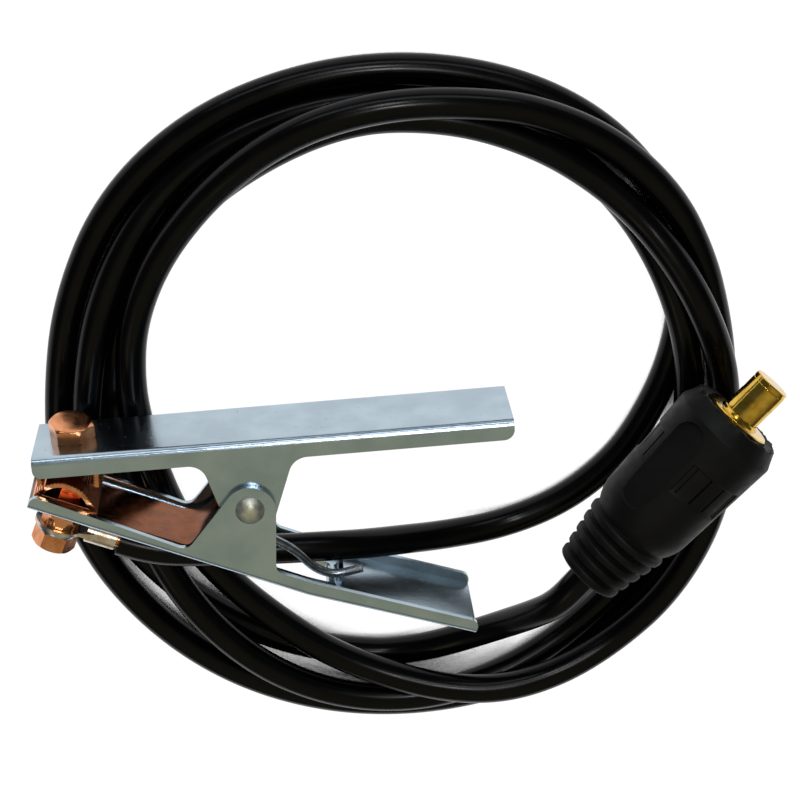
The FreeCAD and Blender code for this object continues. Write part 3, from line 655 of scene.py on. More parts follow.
def drill(piece: Piece, centre: Vector, turn: float, radius: float = 4.2, depth: float = 9.0) -> None:
    """Drills a round hole, for an M8 bolt if nothing else is said.

    Args:
        piece: a closed mesh.
        centre: the hole's middle in metres.
        turn: radians about Z from a hole along Y.
        radius: in millimetres.
        depth: of the whole hole, in millimetres.
    """
    bpy.ops.object.select_all(action="DESELECT")
    bpy.ops.mesh.primitive_cylinder_add(vertices=40, radius=radius * MM, depth=depth * MM, location=centre,
                                        rotation=(math.pi / 2, 0, turn))
    carve(piece, name_piece("drill"))


def hand_over(piece: Piece, finish: Finish, body: Body | None, *nodes: str) -> Piece:
    """Gives a finished piece its finish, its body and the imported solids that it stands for.

    Args:
        piece: the finished piece.
        finish: what it is made of.
        body: what it moves with, unless it bends between both.
        nodes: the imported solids.

    Returns:
        The piece.
    """
    finish.on(piece)
    if body is not None:
        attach(piece, body.value)
    if nodes:
        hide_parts(*nodes)
    faces = len(getattr(piece.data, "polygons", ()))
    log.info("%s: %d faces, for %s", piece.name, faces, ", ".join(nodes) or "itself")
    return piece


def take_over(node: str, name: str, finish: Finish, body: Body, width: float, segments: int = 2) -> Piece:
    """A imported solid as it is, with rounded edges, a finish and a plain name.

    Args:
        node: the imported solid.
        name: the new piece's name.
        finish: what it is made of.
        body: what it moves with.
        width: the width of its rounded edges in millimetres.
        segments: how many facets each round has.

    Returns:
        The new piece.
    """
    piece = from_frame(node, name)
    soften(piece, width, segments)
    return hand_over(piece, finish, body, node)


@dataclass
class Pressings:
    """The two plated channels, the rivet that joins them and its washer and sleeve."""

    edge: float = 0.5                # round on the sheared edges

    def build(self) -> None:
        """Rounds the sheet's sheared edges and plates them."""
        for row in (("upper_lever", "upper_channel", ZINC, Body.UPPER, self.edge, 3),
                    ("lower_lever", "lower_channel", ZINC, Body.LOWER, self.edge, 3),
                    ("pivot_rivet", "rivet", RIVET, Body.LOWER, 0.2),
                    ("rivet_washer", "washer_under_rivet", ZINC, Body.LOWER, 0.15),
                    ("spring_sleeve", "sleeve", ZINC, Body.LOWER, 0.15)):
            take_over(*row)


def pushed_out(radius: float, step: float) -> float:
    """How far out the control points of a round line lie, some degrees apart, for it to keep its radius."""
    return radius / (0.75 + 0.25 * math.cos(math.radians(step)))


@dataclass
class Spring:
    """Torsion spring of round wire: a closely wound coil round the sleeve, with a leg on each lever."""

    wire: float = 3.0
    radius: float = 7.2
    near: float = 7.5                # height of the lower leg
    far: float = -2.3                # height of the upper leg
    start: float = -130.0            # where the lower leg leaves the coil, degrees round the rivet
    sweep: float = 1160.0
    step: float = 29.0
    upper_leg_at: float = 19.7

    def line(self) -> list[Vector]:
        """The wire's middle: the lower leg with its upturned tip, the coil, and the upper leg.

        Returns:
            Control points in metres.
        """
        points = [lower_spot(45.5, -13.9, 4.6), lower_spot(40.5, -17.6, 4.7), lower_spot(36.0, -19.6, 4.8),
                  lower_spot(29.5, -19.0, 5.2), spot(13.0, -21.2, 6.6), spot(5.6, -16.0, self.near),
                  spot(0.4, -10.6, self.near)]
        out = pushed_out(self.radius, self.step)
        count = round(self.sweep / self.step)
        for i in range(count + 1):
            turn = math.radians(self.start - self.step * i)
            height = self.near + (self.far - self.near) * i / count
            points.append(spot(out * math.cos(turn), out * math.sin(turn), height))
        upper_leg = ((-0.6, 10.2), (6.5, 17.6), (12.0, self.upper_leg_at), (30.0, self.upper_leg_at))
        return points + [spot(x, y, self.far) for x, y in upper_leg]

    def build(self) -> None:
        """Draws the wire along its line, on neither lever's body."""
        wire = tube("torsion_wire", self.line(), self.wire / 2, 8, 6)
        activate(wire)
        bpy.ops.object.convert(target="MESH")
        wire = name_piece("torsion_wire")
        tidy_mesh(wire)
        activate(wire)
        bpy.ops.object.shade_smooth_by_angle(angle=math.radians(40))
        hand_over(wire, SPRING, None, "torsion_spring")
        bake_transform(wire)


def tube(name: str, points: list[Vector], radius: float, resolution: int, roundness: int) -> Piece:
    """A smooth round line whose control points are given.

    Args:
        name: the piece's name.
        points: the spline's control points in metres.
        radius: in millimetres.
        resolution: stretches drawn between two control points.
        roundness: how finely the section is drawn.

    Returns:
        The curve object.
    """
    curve = bpy.data.curves.new(name, "CURVE")
    curve.dimensions = "3D"
    curve.bevel_depth = radius * MM
    curve.bevel_resolution = roundness
    curve.use_fill_caps = True
    curve.resolution_u = resolution
    spline = curve.splines.new("NURBS")
    spline.points.add(len(points) - 1)
    for point, place in zip(spline.points, points):
        point.co = (*place, 1.0)
    spline.order_u = 3
    spline.use_endpoint_u = True
    spline.resolution_u = resolution
    piece = bpy.data.objects.new(name, curve)
    bpy.context.scene.collection.objects.link(piece)
    return piece


def evenly(start: Vector, end: Vector, step: float) -> list[Vector]:
    """Points from start to end, the end among them, at most a step apart."""
    count = max(1, math.ceil((end - start).length / step - 0.01))
    return [start.lerp(end, i / count) for i in range(1, count + 1)]


def rounded(corners: list[Vector], radii: list[float], step: float) -> list[Vector]:
    """A line through corners whose inner ones are rounded.

    Args:
        corners: in a plane across Z.
        radii: one for each corner but the first and the last.
        step: how far apart the points lie.

    Returns:
        Points along the line.
    """
    points = [corners[0]]
    for before, here, after, radius in zip(corners, corners[1:], corners[2:], radii):
        back, ahead = (before - here).normalized(), (after - here).normalized()
        half = back.angle(ahead) / 2
        hub = here + (back + ahead).normalized() * (radius / math.sin(half))
        arm, goal = (here + way * (radius / math.tan(half)) - hub for way in (back, ahead))
        points += evenly(points[-1], hub + arm, step)
        count = max(4, round(arm.angle(goal) * radius / step))
        swing = math.copysign(arm.angle(goal), arm.cross(goal).z)
        points += [hub + Matrix.Rotation(swing * i / count, 3, "Z") @ arm for i in range(1, count + 1)]
    return points + evenly(points[-1], corners[-1], step)


def drawn_out(name: str, points: list[Vector], width: float) -> Piece:
    """A sheet without thickness: a line along Z, drawn out from point to point.

    Args:
        name: the piece's name.
        points: in metres.
        width: of the sheet along Z, in millimetres.

    Returns:
        The open sheet.
    """
    bpy.ops.object.select_all(action="DESELECT")
    bpy.ops.mesh.primitive_plane_add(size=width * MM, location=(0, 0, 0), rotation=(math.pi / 2, 0, 0))
    sheet = name_piece(name)
    settle(sheet)
    edit(sheet, Part.VERT)
    pick(sheet, Part.VERT, lambda at, _: at.x > 0)
    bpy.ops.mesh.delete(type="VERT")
    pick(sheet, Part.EDGE, lambda at, _: True)
    bpy.ops.transform.translate(value=points[0] - Vector((-width / 2 * MM, 0, 0)))
    for here, onward in zip(points, points[1:]):
        bpy.ops.mesh.extrude_edges_move(TRANSFORM_OT_translate={"value": onward - here})
    leave()
    return sheet


@dataclass
class Strap:
    """Copper strip that carries the current round the pivot from one jaw to the other."""

    width: float = 26.4
    thick: float = 1.0
    low_end: float = -63.0           # the strip's end on the lower web
    low_bend: float = -2.6           # where it would turn up, were its bend sharp
    high_bend: float = -10.4
    high_end: float = -64.0

    def line(self) -> list[Vector]:
        """The strip's middle: along the lower web, up behind the ear, and back under the upper web.

        Returns:
            Points in millimetres.
        """
        low = -LOWER_WEB + SHEET + FACE_GAP + self.thick / 2
        high = UPPER_WEB - SHEET - FACE_GAP - self.thick / 2
        turn = Matrix.Rotation(-LOWER_TURN, 3, "Z")
        corners = [turn @ Vector((self.low_end, low, 0)), turn @ Vector((self.low_bend, low, 0)),
                   Vector((self.high_bend, high, 0)), Vector((self.high_end, high, 0))]
        return rounded(corners, [9.5, 6.0], 1.5)

    def build(self) -> None:
        """Draws a cross line out along the strip, thickens it and drills both bolt holes."""
        strip = drawn_out("copper_strap", [spot(*p) for p in self.line()], self.width)
        modify(strip, "SOLIDIFY", thickness=self.thick * MM, offset=0.0, use_even_offset=True)
        tidy_mesh(strip)
        drill(strip, lower_spot(-LOWER_BOLT_AT, -LOWER_WEB + 2.6), -LOWER_TURN, depth=4)
        drill(strip, spot(-UPPER_BOLT_AT, UPPER_WEB - 2.6), 0.0, depth=4)
        soften(strip, 0.12, 1, 50)
        hand_over(strip, SHEET_COPPER, None, "bridging_strap")
        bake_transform(strip)


@dataclass
class Jaws:
    """The two copper half shells, ribbed where they grip, with their bolts and nuts."""

    length: float = 25.2
    wall: float = 1.3
    rib: float = 0.42                # height of a gripping rib
    rib_pitch: float = 1.16
    foot: float = -21.06             # the lower jaw stands on the strap here, along the lower lever
    foot_thick: float = 1.6
    foot_span: tuple[float, float] = (-67.0, -46.6)
    crown: float = 20.46             # the upper jaw hangs from the strap here
    boss: float = 6.0                # radius of the tapped boss under the upper jaw's crown
    boss_height: float = 3.8
    boss_at: float = 17.16           # height of its middle
    tapped: float = 4.02             # radius of its hole
    drop: float = 1.4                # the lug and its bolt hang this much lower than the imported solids
    seam: float = -30.64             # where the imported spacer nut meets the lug's ring
    head_at: float = -34.68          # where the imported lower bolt's head begins
    thinned: float = 1.2             # the lug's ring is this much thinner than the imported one
    ring: float = 8.6                # the lug's ring and the nut lie within this radius of the bolt's axis
    close: float = 0.3               # a point this close to the seam belongs to the face there
    across: float = 13.0             # an M8 head, flat to flat
    crest: float = 3.98              # radius of the M8 thread
    root: float = 3.4
    pitch: float = 1.25

    def build(self) -> None:
        """Models both shells and both bolts, and dresses the other fastenings."""
        self.lower_shell()
        self.upper_shell()
        self.bolts()
        self.fastenings()

    def shell(self, name: str, outline: list[Vector]) -> Piece:
        """An arch of sheet along Z, its wall inside its outline.

        Args:
            name: the piece's name.
            outline: points in metres.

        Returns:
            The closed arch.
        """
        arch = drawn_out(name, outline, self.length)
        edit(arch, Part.FACE)
        bpy.ops.mesh.select_all(action="SELECT")
        mesh = bmesh.from_edit_mesh(arch.data)
        mesh.normal_update()
        if sum(face.normal.y * face.calc_area() for face in mesh.faces) < 0:
            bpy.ops.mesh.flip_normals()
        leave()
        modify(arch, "SOLIDIFY", thickness=self.wall * MM, offset=-1.0, use_even_offset=True)
        return arch

    def ribs(self, arch: Piece, grips: Callable[[Vector, Vector], bool]) -> None:
        """Raises every other strip of the gripping side.

        Args:
            arch: the closed arch.
            grips: takes a face's middle and its normal, and picks the gripping side.
        """
        edit(arch, Part.FACE)
        mesh = bmesh.from_edit_mesh(arch.data)
        mesh.normal_update()
        chosen = [f for f in mesh.faces if abs(f.normal.z) < 0.1 and grips(f.calc_center_median(), f.normal)]
        hub = sum((f.calc_center_median() for f in chosen), Vector()) / len(chosen) - Vector((0, 3 * MM, 0))

        def bearing(face: bmesh.types.BMFace) -> float:
            """Which way a face lies from the hub."""
            at = face.calc_center_median()
            return math.atan2(at.x - hub.x, at.y - hub.y)

        chosen.sort(key=bearing)
        for face in chosen[::2]:
            face.select_set(True)
        bmesh.update_edit_mesh(arch.data)
        bpy.ops.mesh.extrude_faces_move(TRANSFORM_OT_shrink_fatten={"value": self.rib * MM})
        leave()

    def lower_shell(self) -> None:
        """The lower jaw: an arch on a flat foot, ribbed outside and drilled for its bolt."""
        corners = [Vector((-67.6, self.foot, 0)), Vector((-63.0, -13.3, 0)), Vector((-52.6, -13.9, 0)),
                   Vector((-45.9, self.foot, 0))]
        outline = rounded(corners, [8.0, 11.0], self.rib_pitch / 2)
        shell = self.shell("lower_half_shell", [lower_spot(*p) for p in outline])
        middle = lower_spot(-56.6, -21.0)
        rise = lower_spot(-56.6, -13.6) - middle

        def grips(at: Vector, normal: Vector) -> bool:
            """Whether a face grips: on the arch's outside and off its foot, or else facing the other jaw.

            Args:
                at: the face's middle.
                normal: which way it faces.

            Returns:
                Whether it does.
            """
            reach = at - middle
            outside = normal.dot(reach) > 0 and reach.length > rise.length * 0.9
            return outside and reach.dot(rise) > -rise.length ** 2 * 0.1 or normal.dot(rise) > 0.004

        self.ribs(shell, grips)
        self.join(shell, self.foot_plate())
        drill(shell, lower_spot(-LOWER_BOLT_AT, -20.3), -LOWER_TURN)
        soften(shell, 0.08, 1, 40)
        hand_over(shell, COPPER, Body.LOWER, "lower_jaw")

    def upper_shell(self) -> None:
        """The upper jaw: a square arch, ribbed on both lips, with a tapped boss under its crown."""
        corners = [Vector((-68.3, 12.8, 0)), Vector((-68.3, self.crown, 0)), Vector((-47.6, self.crown, 0)),
                   Vector((-48.6, 10.6, 0))]
        outline = rounded(corners, [5.5, 5.5], self.rib_pitch / 2)
        shell = self.shell("upper_half_shell", [spot(*p) for p in outline])
        middle, lips = spot(-60, 0).x, spot(0, 15.0).y
        self.ribs(shell, lambda at, normal: at.y < lips and abs(normal.x) > 0.9
                  and (normal.x > 0) == (at.x < middle))
        tidy_mesh(shell)
        bpy.ops.object.select_all(action="DESELECT")
        bpy.ops.mesh.primitive_cylinder_add(vertices=48, radius=self.boss * MM, depth=self.boss_height * MM,
                                            location=spot(-UPPER_BOLT_AT, self.boss_at),
                                            rotation=(math.pi / 2, 0, 0))
        carve(shell, name_piece("boss"), "UNION")
        drill(shell, spot(-UPPER_BOLT_AT, 18.0), 0.0, self.tapped)
        soften(shell, 0.08, 1, 40)
        hand_over(shell, COPPER, Body.UPPER, "upper_jaw")

    def foot_plate(self) -> Piece:
        """The lower arch's flat foot, a block that reaches a little into both of its sides.

        Returns:
            The block, in its place.
        """
        left, right = self.foot_span[0] + self.wall, self.foot_span[1] - self.wall
        middle, height = (left + right) / 2, self.foot + self.foot_thick / 2
        bpy.ops.object.select_all(action="DESELECT")
        bpy.ops.mesh.primitive_cube_add(
            size=1, location=(middle * MM, height * MM, 0),
            scale=((right - left + 0.6) * MM, self.foot_thick * MM, self.length * MM))
        block = name_piece("foot")
        settle(block)
        settle(block, Matrix.Rotation(-LOWER_TURN, 4, "Z"))
        settle(block, Matrix.Translation(SHIFT * MM))
        return block

    @staticmethod
    def join(piece: Piece, other: Piece) -> None:
        """Welds a second closed mesh onto a piece."""
        tidy_mesh(piece)
        carve(piece, other, "UNION")

    def bolts(self) -> None:
        """Both hexagon bolts, each with its head against what it clamps."""
        upper = self.bolt("upper_bolt", shank=8.26, turn=5.0, lean=(11.0, 7.0))
        upward = Matrix.Rotation(math.radians(90), 4, "Z")
        settle(upper, Matrix.Translation(spot(-UPPER_BOLT_AT, UPPER_WEB + FACE_GAP)) @ upward)
        hand_over(upper, COPPER, Body.UPPER, "upper_jaw_bolt")
        lower = self.bolt("lower_bolt", shank=20.2, turn=0.0)
        downward = Matrix.Rotation(math.radians(-90) - LOWER_TURN, 4, "Z")
        settle(lower, Matrix.Translation(lower_spot(-LOWER_BOLT_AT, self.head_at - self.drop)) @ downward)
        hand_over(lower, COPPER, Body.LOWER, "lower_jaw_bolt")

    def bolt(self, name: str, shank: float, turn: float, lean: tuple[float, float] = (0.0, 0.0)) -> Piece:
        """A hexagon bolt with a domed head along X: the head's foot at the origin, the shank behind it.

        Args:
            name: the piece's name.
            shank: its length; its thread is drawn as rings.
            turn: degrees that the facet facing Z is turned towards Y.
            lean: degrees that the head's top is cut askew, towards Z and away from Y.

        Returns:
            The closed piece.
        """
        corner = self.across / math.sqrt(3)
        bpy.ops.object.select_all(action="DESELECT")
        bpy.ops.mesh.primitive_cylinder_add(vertices=6, radius=corner * MM, depth=8 * MM,
                                            location=(4 * MM, 0, 0), rotation=(0, math.pi / 2, 0))
        head = name_piece(name)
        settle(head)
        facet = next(face for face in head.data.polygons if abs(face.normal.x) < 0.1)
        now = math.degrees(math.atan2(facet.normal.y, facet.normal.z))
        settle(head, Matrix.Rotation(math.radians(now - turn), 4, "X"))
        foot = turned("foot", [(0.0, corner * 0.92), (0.4, corner * 1.03), (9.0, corner * 1.03)], 72)
        carve(head, foot, "INTERSECT")
        dome = turned("dome", [(-2.0, corner * 1.3), (3.3, corner * 1.3), (5.9, corner * 0.88),
                               (6.1, corner * 0.8), (6.2, corner * 0.6), (6.25, corner * 0.08)], 72)
        middle = Matrix.Translation((6 * MM, 0, 0))
        towards_z, from_y = (math.radians(-degrees) for degrees in lean)
        askew = Matrix.Rotation(from_y, 4, "Z") @ Matrix.Rotation(towards_z, 4, "Y")
        settle(dome, middle @ askew @ middle.inverted())
        carve(head, dome, "INTERSECT")
        thread = [(-shank, 3.3), (-shank + 0.45, 3.75)]
        at = -shank + 0.75
        while at < -1.5:
            thread += [(at, self.crest), (at + 0.2, self.crest)]
            thread += [(at + 0.55, self.root), (at + 0.75, self.root)]
            at += self.pitch
        rod = turned("shank", [*thread, (min(at, -0.3), self.crest), (0.4, self.crest)], 40)
        self.join(head, rod)
        soften(head, 0.14, 2, 24)
        return head

    def fastenings(self) -> None:
        """The nuts, the spring washer, the lug and its strands, as low as the photograph shows them."""
        # the inner nut takes the copper darkened as painted shade
        for node, name, finish, width in (("lower_jaw_nut", "inner_nut", SHADE_DARKENED_COPPER, 0.2),
                                          ("lower_spacer_nut", "spacer_nut", COPPER, 0.2),
                                          ("lug_lock_washer", "lock_washer", ZINC, 0.3),
                                          ("cable_lug", "ring_lug", TIN, 0.3),
                                          ("cable_conductor", "lug_strands", STRANDS, 0.2)):
            piece = from_frame(node, name)
            if node in ("lug_lock_washer", "cable_lug", "cable_conductor"):
                settle(piece, Matrix.Translation(lower_spot(0, -self.drop) - lower_spot(0, 0)))
            if node == "lower_spacer_nut":
                self.lower_face(piece, self.seam, self.thinned + self.drop)
            if node == "cable_lug":
                self.lower_face(piece, self.seam - self.drop, self.thinned)
            soften(piece, width)
            hand_over(piece, finish, Body.LOWER, node)

    def lower_face(self, piece: Piece, seam: float, drop: float) -> None:
        """Moves the face between the spacer nut and the lug's ring down the bolt.

        Args:
            piece: the nut, or the lug.
            seam: where the face is now, along the lower lever.
            drop: how far it moves, in millimetres.
        """
        axis = lower_spot(-LOWER_BOLT_AT, seam)
        away = lower_spot(-LOWER_BOLT_AT, seam - 1) - axis
        along = lower_spot(1 - LOWER_BOLT_AT, seam) - axis
        edit(piece, Part.VERT)
        pick(piece, Part.VERT, lambda at, _: abs((at - axis).dot(away)) < self.close * MM * away.length
             and abs((at - axis).dot(along)) < self.ring * MM * along.length)
        bpy.ops.transform.translate(value=away * drop)
        leave()


@dataclass
class Plug:
    """Moulded boot with the brass pin that it holds, modelled along X from the boot's rear end."""

    rear: tuple[float, float, float] = (112.2, -42.1, 3.6)
    turn: float = 45.75              # degrees from X
    ribs: int = 5
    rib_pitch: float = 4.6
    rear_radius: float = 12.0
    neck: float = 15.4
    body: float = 17.4
    front: float = 19.2
    lip: float = 16.4
    recess_angle: float = 49.0       # degrees from Z towards Y
    recess_at: float = 49.3          # its middle
    recess_size: tuple[float, float] = (36.0, 11.8)
    field_turn: float = 60.0         # degrees from the recess to a field of slots
    field_half: float = 37.0         # degrees from a field's middle to its side
    field_least: float = 16.0        # beyond the bore, and inside the sunk flats
    field_most: float = 17.95        # beyond the flats' rear edge, and inside the body round it
    slots: int = 4
    slot_half: float = 1.9           # degrees from a slot's middle to its side
    grip_step: float = 20.0
    grip_from: float = 45.0
    grip_to: float = 57.4

    def place(self) -> Matrix:
        """Where the boot's rear end is, and which way it points."""
        return Matrix.Translation(spot(*self.rear)) @ Matrix.Rotation(math.radians(self.turn), 4, "Z")

    def outside(self) -> list[tuple[float, float]]:
        """The boot's outline from the rear end to its lip: five bellows, then the swelling body.

        Returns:
            Distance along X and radius of each station, in millimetres.
        """
        line = [(0.0, 9.6), (0.1, self.rear_radius - 1.4), (0.5, self.rear_radius - 0.5)]
        for i in range(self.ribs):
            at = i * self.rib_pitch
            radius = self.rear_radius + (self.neck - self.rear_radius) * i / (self.ribs - 1)
            line += [(at + 1.0, radius), (at + 2.0, radius + 0.25), (at + 2.9, radius + 0.3),
                     (at + 3.4, radius), (at + 3.7, radius - 0.6), (at + 4.0, radius - 0.9),
                     (at + 4.4, radius - 0.75)]
        start = self.ribs * self.rib_pitch
        line += [(start + 0.6, self.neck - 0.3), (start + 2.0, self.neck + 0.5),
                 (start + 4.0, self.neck + 1.3), (start + 7.0, self.body)]
        # stations on the body, closer where the slots are cut
        rise, run = self.front - self.body, 69.5 - start - 7
        line += [(at, self.body + rise * (at - start - 7) / run)
                 for at in (33.0, 36.0, 39.0, 42.0, self.grip_from, 46.0, 49.0, 52.0, 55.0, self.grip_to,
                            58.0, 61.0, 64.0, 67.0)]
        line += [(69.2, self.front), (69.8, self.front - 0.1), (71.5, self.front - 0.95),
                 (73.5, self.front - 1.85), (75.0, self.front - 2.5), (75.7, self.lip + 0.2),
                 (76.0, self.lip - 0.4)]
        return line

    def build(self) -> list[Piece]:
        """Models the boot and the pin, and dresses what they hold.

        Returns:
            Every piece of the plug.
        """
        pieces = [self.boot(), self.pin()]
        for node, name, finish in (("plug_ferrule", "ferrule", BRASS),
                                   ("plug_conductor", "plug_strands", STRANDS),
                                   ("plug_grub_screws", "grub_screws", SPRING)):
            pieces.append(take_over(node, name, finish, Body.LOWER, 0.12, 1))
        return pieces

    def boot(self) -> Piece:
        """The rubber boot: bellows, long recess, slotted grips and the thin uneven lip round the collar.

        Returns:
            The piece.
        """
        mouth, bore, hole = 12.4, 10.2, 5.4
        inside = [(75.8, 15.6), (75.2, 14.2), (74.6, mouth + 0.3), (73.0, mouth), (71.8, mouth), (71.7, bore),
                  (50.0, bore), (32.8, bore), (32.7, hole), (16.0, hole), (0.6, hole), (0.1, hole + 0.5)]
        boot = turned("boot", self.outside() + inside, 144, ring=True)
        self.grips(boot)
        self.ragged_lip(boot)
        self.recess(boot)
        soften(boot, 0.22, 2, 38)
        settle(boot, self.place())
        return hand_over(boot, BOOT, Body.LOWER, "plug_boot")

    @staticmethod
    def off(at: Vector, middle: float) -> float:
        """Degrees round the boot from a line along it to a point, from -180 to 180."""
        return (math.degrees(math.atan2(at.y, at.z)) - middle + 180) % 360 - 180

    def grips(self, boot: Piece) -> None:
        """Two fields of slots beside the recess, each in a shallow flat that fades out to the rear.

        Args:
            boot: the plain boot, still along X.
        """
        for side in (-1, 1):
            middle = self.recess_angle + side * self.field_turn

            def in_field(at: Vector, _: Vector, middle: float = middle) -> bool:
                """Whether a face of the outside lies in this field."""
                return (self.grip_from * MM < at.x < self.grip_to * MM
                        and abs(self.off(at, middle)) < self.field_half
                        and math.hypot(at.y, at.z) > self.field_least * MM)

            def at_rear(at: Vector, _: Vector, middle: float = middle) -> bool:
                """Whether a point is on the sunk flat's rear edge."""
                return (self.grip_from * MM - 1e-6 < at.x < (self.grip_from + 0.6) * MM
                        and abs(self.off(at, middle)) < self.field_half
                        and self.field_least * MM < math.hypot(at.y, at.z) < self.field_most * MM)

            edit(boot, Part.FACE)
            pick(boot, Part.FACE, in_field)
            bpy.ops.mesh.inset(thickness=0.35 * MM, depth=-0.5 * MM, use_even_offset=True)
            pick(boot, Part.VERT, at_rear)
            bpy.ops.transform.resize(value=(1, 1.024, 1.024), center_override=(self.grip_from * MM, 0, 0))
            for i in range(self.slots):
                slot_at = middle + (i - (self.slots - 1) / 2) * self.grip_step

                def in_slot(at: Vector, normal: Vector, slot_at: float = slot_at) -> bool:
                    """Whether a face lies in one slot of the field."""
                    return ((self.grip_from + 1) * MM < at.x < (self.grip_to - 0.5) * MM
                            and abs(self.off(at, slot_at)) < self.slot_half
                            and math.hypot(at.y, at.z) > self.field_least * MM and abs(normal.x) < 0.5)

                pick(boot, Part.FACE, in_slot)
                bpy.ops.mesh.inset(thickness=0.12 * MM, depth=-0.9 * MM, use_even_offset=True)
            leave()

    def ragged_lip(self, boot: Piece) -> None:
        """Moves the lip's points in and out, as flash that was torn off leaves it.

        Args:
            boot: the boot, still along X.
        """
        edit(boot, Part.VERT)
        mesh = bmesh.from_edit_mesh(boot.data)
        for point in mesh.verts:
            radius = math.hypot(point.co.y, point.co.z)
            if point.co.x > 74.9 * MM and radius > 13.5 * MM:
                around = Vector((point.co.y, point.co.z, 0)) / MM * 0.22
                share = min(1.0, (point.co.x / MM - 74.9) / 0.9)
                wave = noise.noise(around) * 1.5 + noise.noise(around * 4.1) * 0.7
                point.co.x += wave * 0.55 * share * MM - 0.35 * MM * share
                scale = 1 + share * (noise.noise(around * 1.7 + Vector((5, 1, 0))) * 0.07 - 0.01)
                point.co.y *= scale
                point.co.z *= scale
        bmesh.update_edit_mesh(boot.data)
        leave()

    def recess(self, boot: Piece) -> None:
        """Presses a long round-ended recess into the side.

        Args:
            boot: the boot, still along X.
        """
        long, wide = self.recess_size
        bpy.ops.object.select_all(action="DESELECT")
        bpy.ops.mesh.primitive_cube_add(size=1, location=(self.recess_at * MM, 0, 20 * MM),
                                        scale=(long * MM, wide * MM, 6 * MM))
        cutter = name_piece("recess_cutter")
        settle(cutter)
        edit(cutter, Part.EDGE)
        pick(cutter, Part.EDGE, lambda _, way: abs(way.z) > 0.9)
        bpy.ops.mesh.bevel(offset=5.8 * MM, segments=14, affect="EDGES")
        pick(cutter, Part.FACE, lambda _, normal: normal.z < -0.9)
        bpy.ops.mesh.bevel(offset=0.5 * MM, segments=3, affect="EDGES")
        leave()
        settle(cutter, Matrix.Rotation(-math.radians(self.recess_angle), 4, "X"))
        carve(boot, cutter)

    def pin(self) -> Piece:
        """The brass body: a stout collar, and the pin with its step, its ring and its locking nose.

        Returns:
            The piece.
        """
        collar = [(33.2, 9.9), (71.9, 9.9), (72.0, 12.1), (75.6, 12.1), (76.0, 11.7), (76.1, 7.7)]
        shaft = [(76.6, 7.4), (77.0, 7.1), (77.2, 6.5), (84.4, 6.5), (84.6, 6.38), (90.0, 6.38),
                 (90.15, 6.22), (90.35, 6.22), (90.5, 6.4), (91.9, 6.4), (92.2, 6.1)]
        pin = turned("brass_pin", collar + shaft, 96)
        bpy.ops.object.select_all(action="DESELECT")
        bpy.ops.mesh.primitive_cube_add(size=1, location=(87.6 * MM, -4.2 * MM, 3.6 * MM),
                                        scale=(6.4 * MM, 3.4 * MM, 3.4 * MM),
                                        rotation=(math.radians(40), 0, 0))
        nose = name_piece("nose")
        settle(nose)
        carve(nose, turned("nose_bar", [(84.4, 6.62), (90.8, 6.62)], 96), "INTERSECT")
        carve(pin, nose, "UNION")
        soften(pin, 0.12)
        settle(pin, self.place())
        return hand_over(pin, BRASS, Body.LOWER, "plug_pin_body")


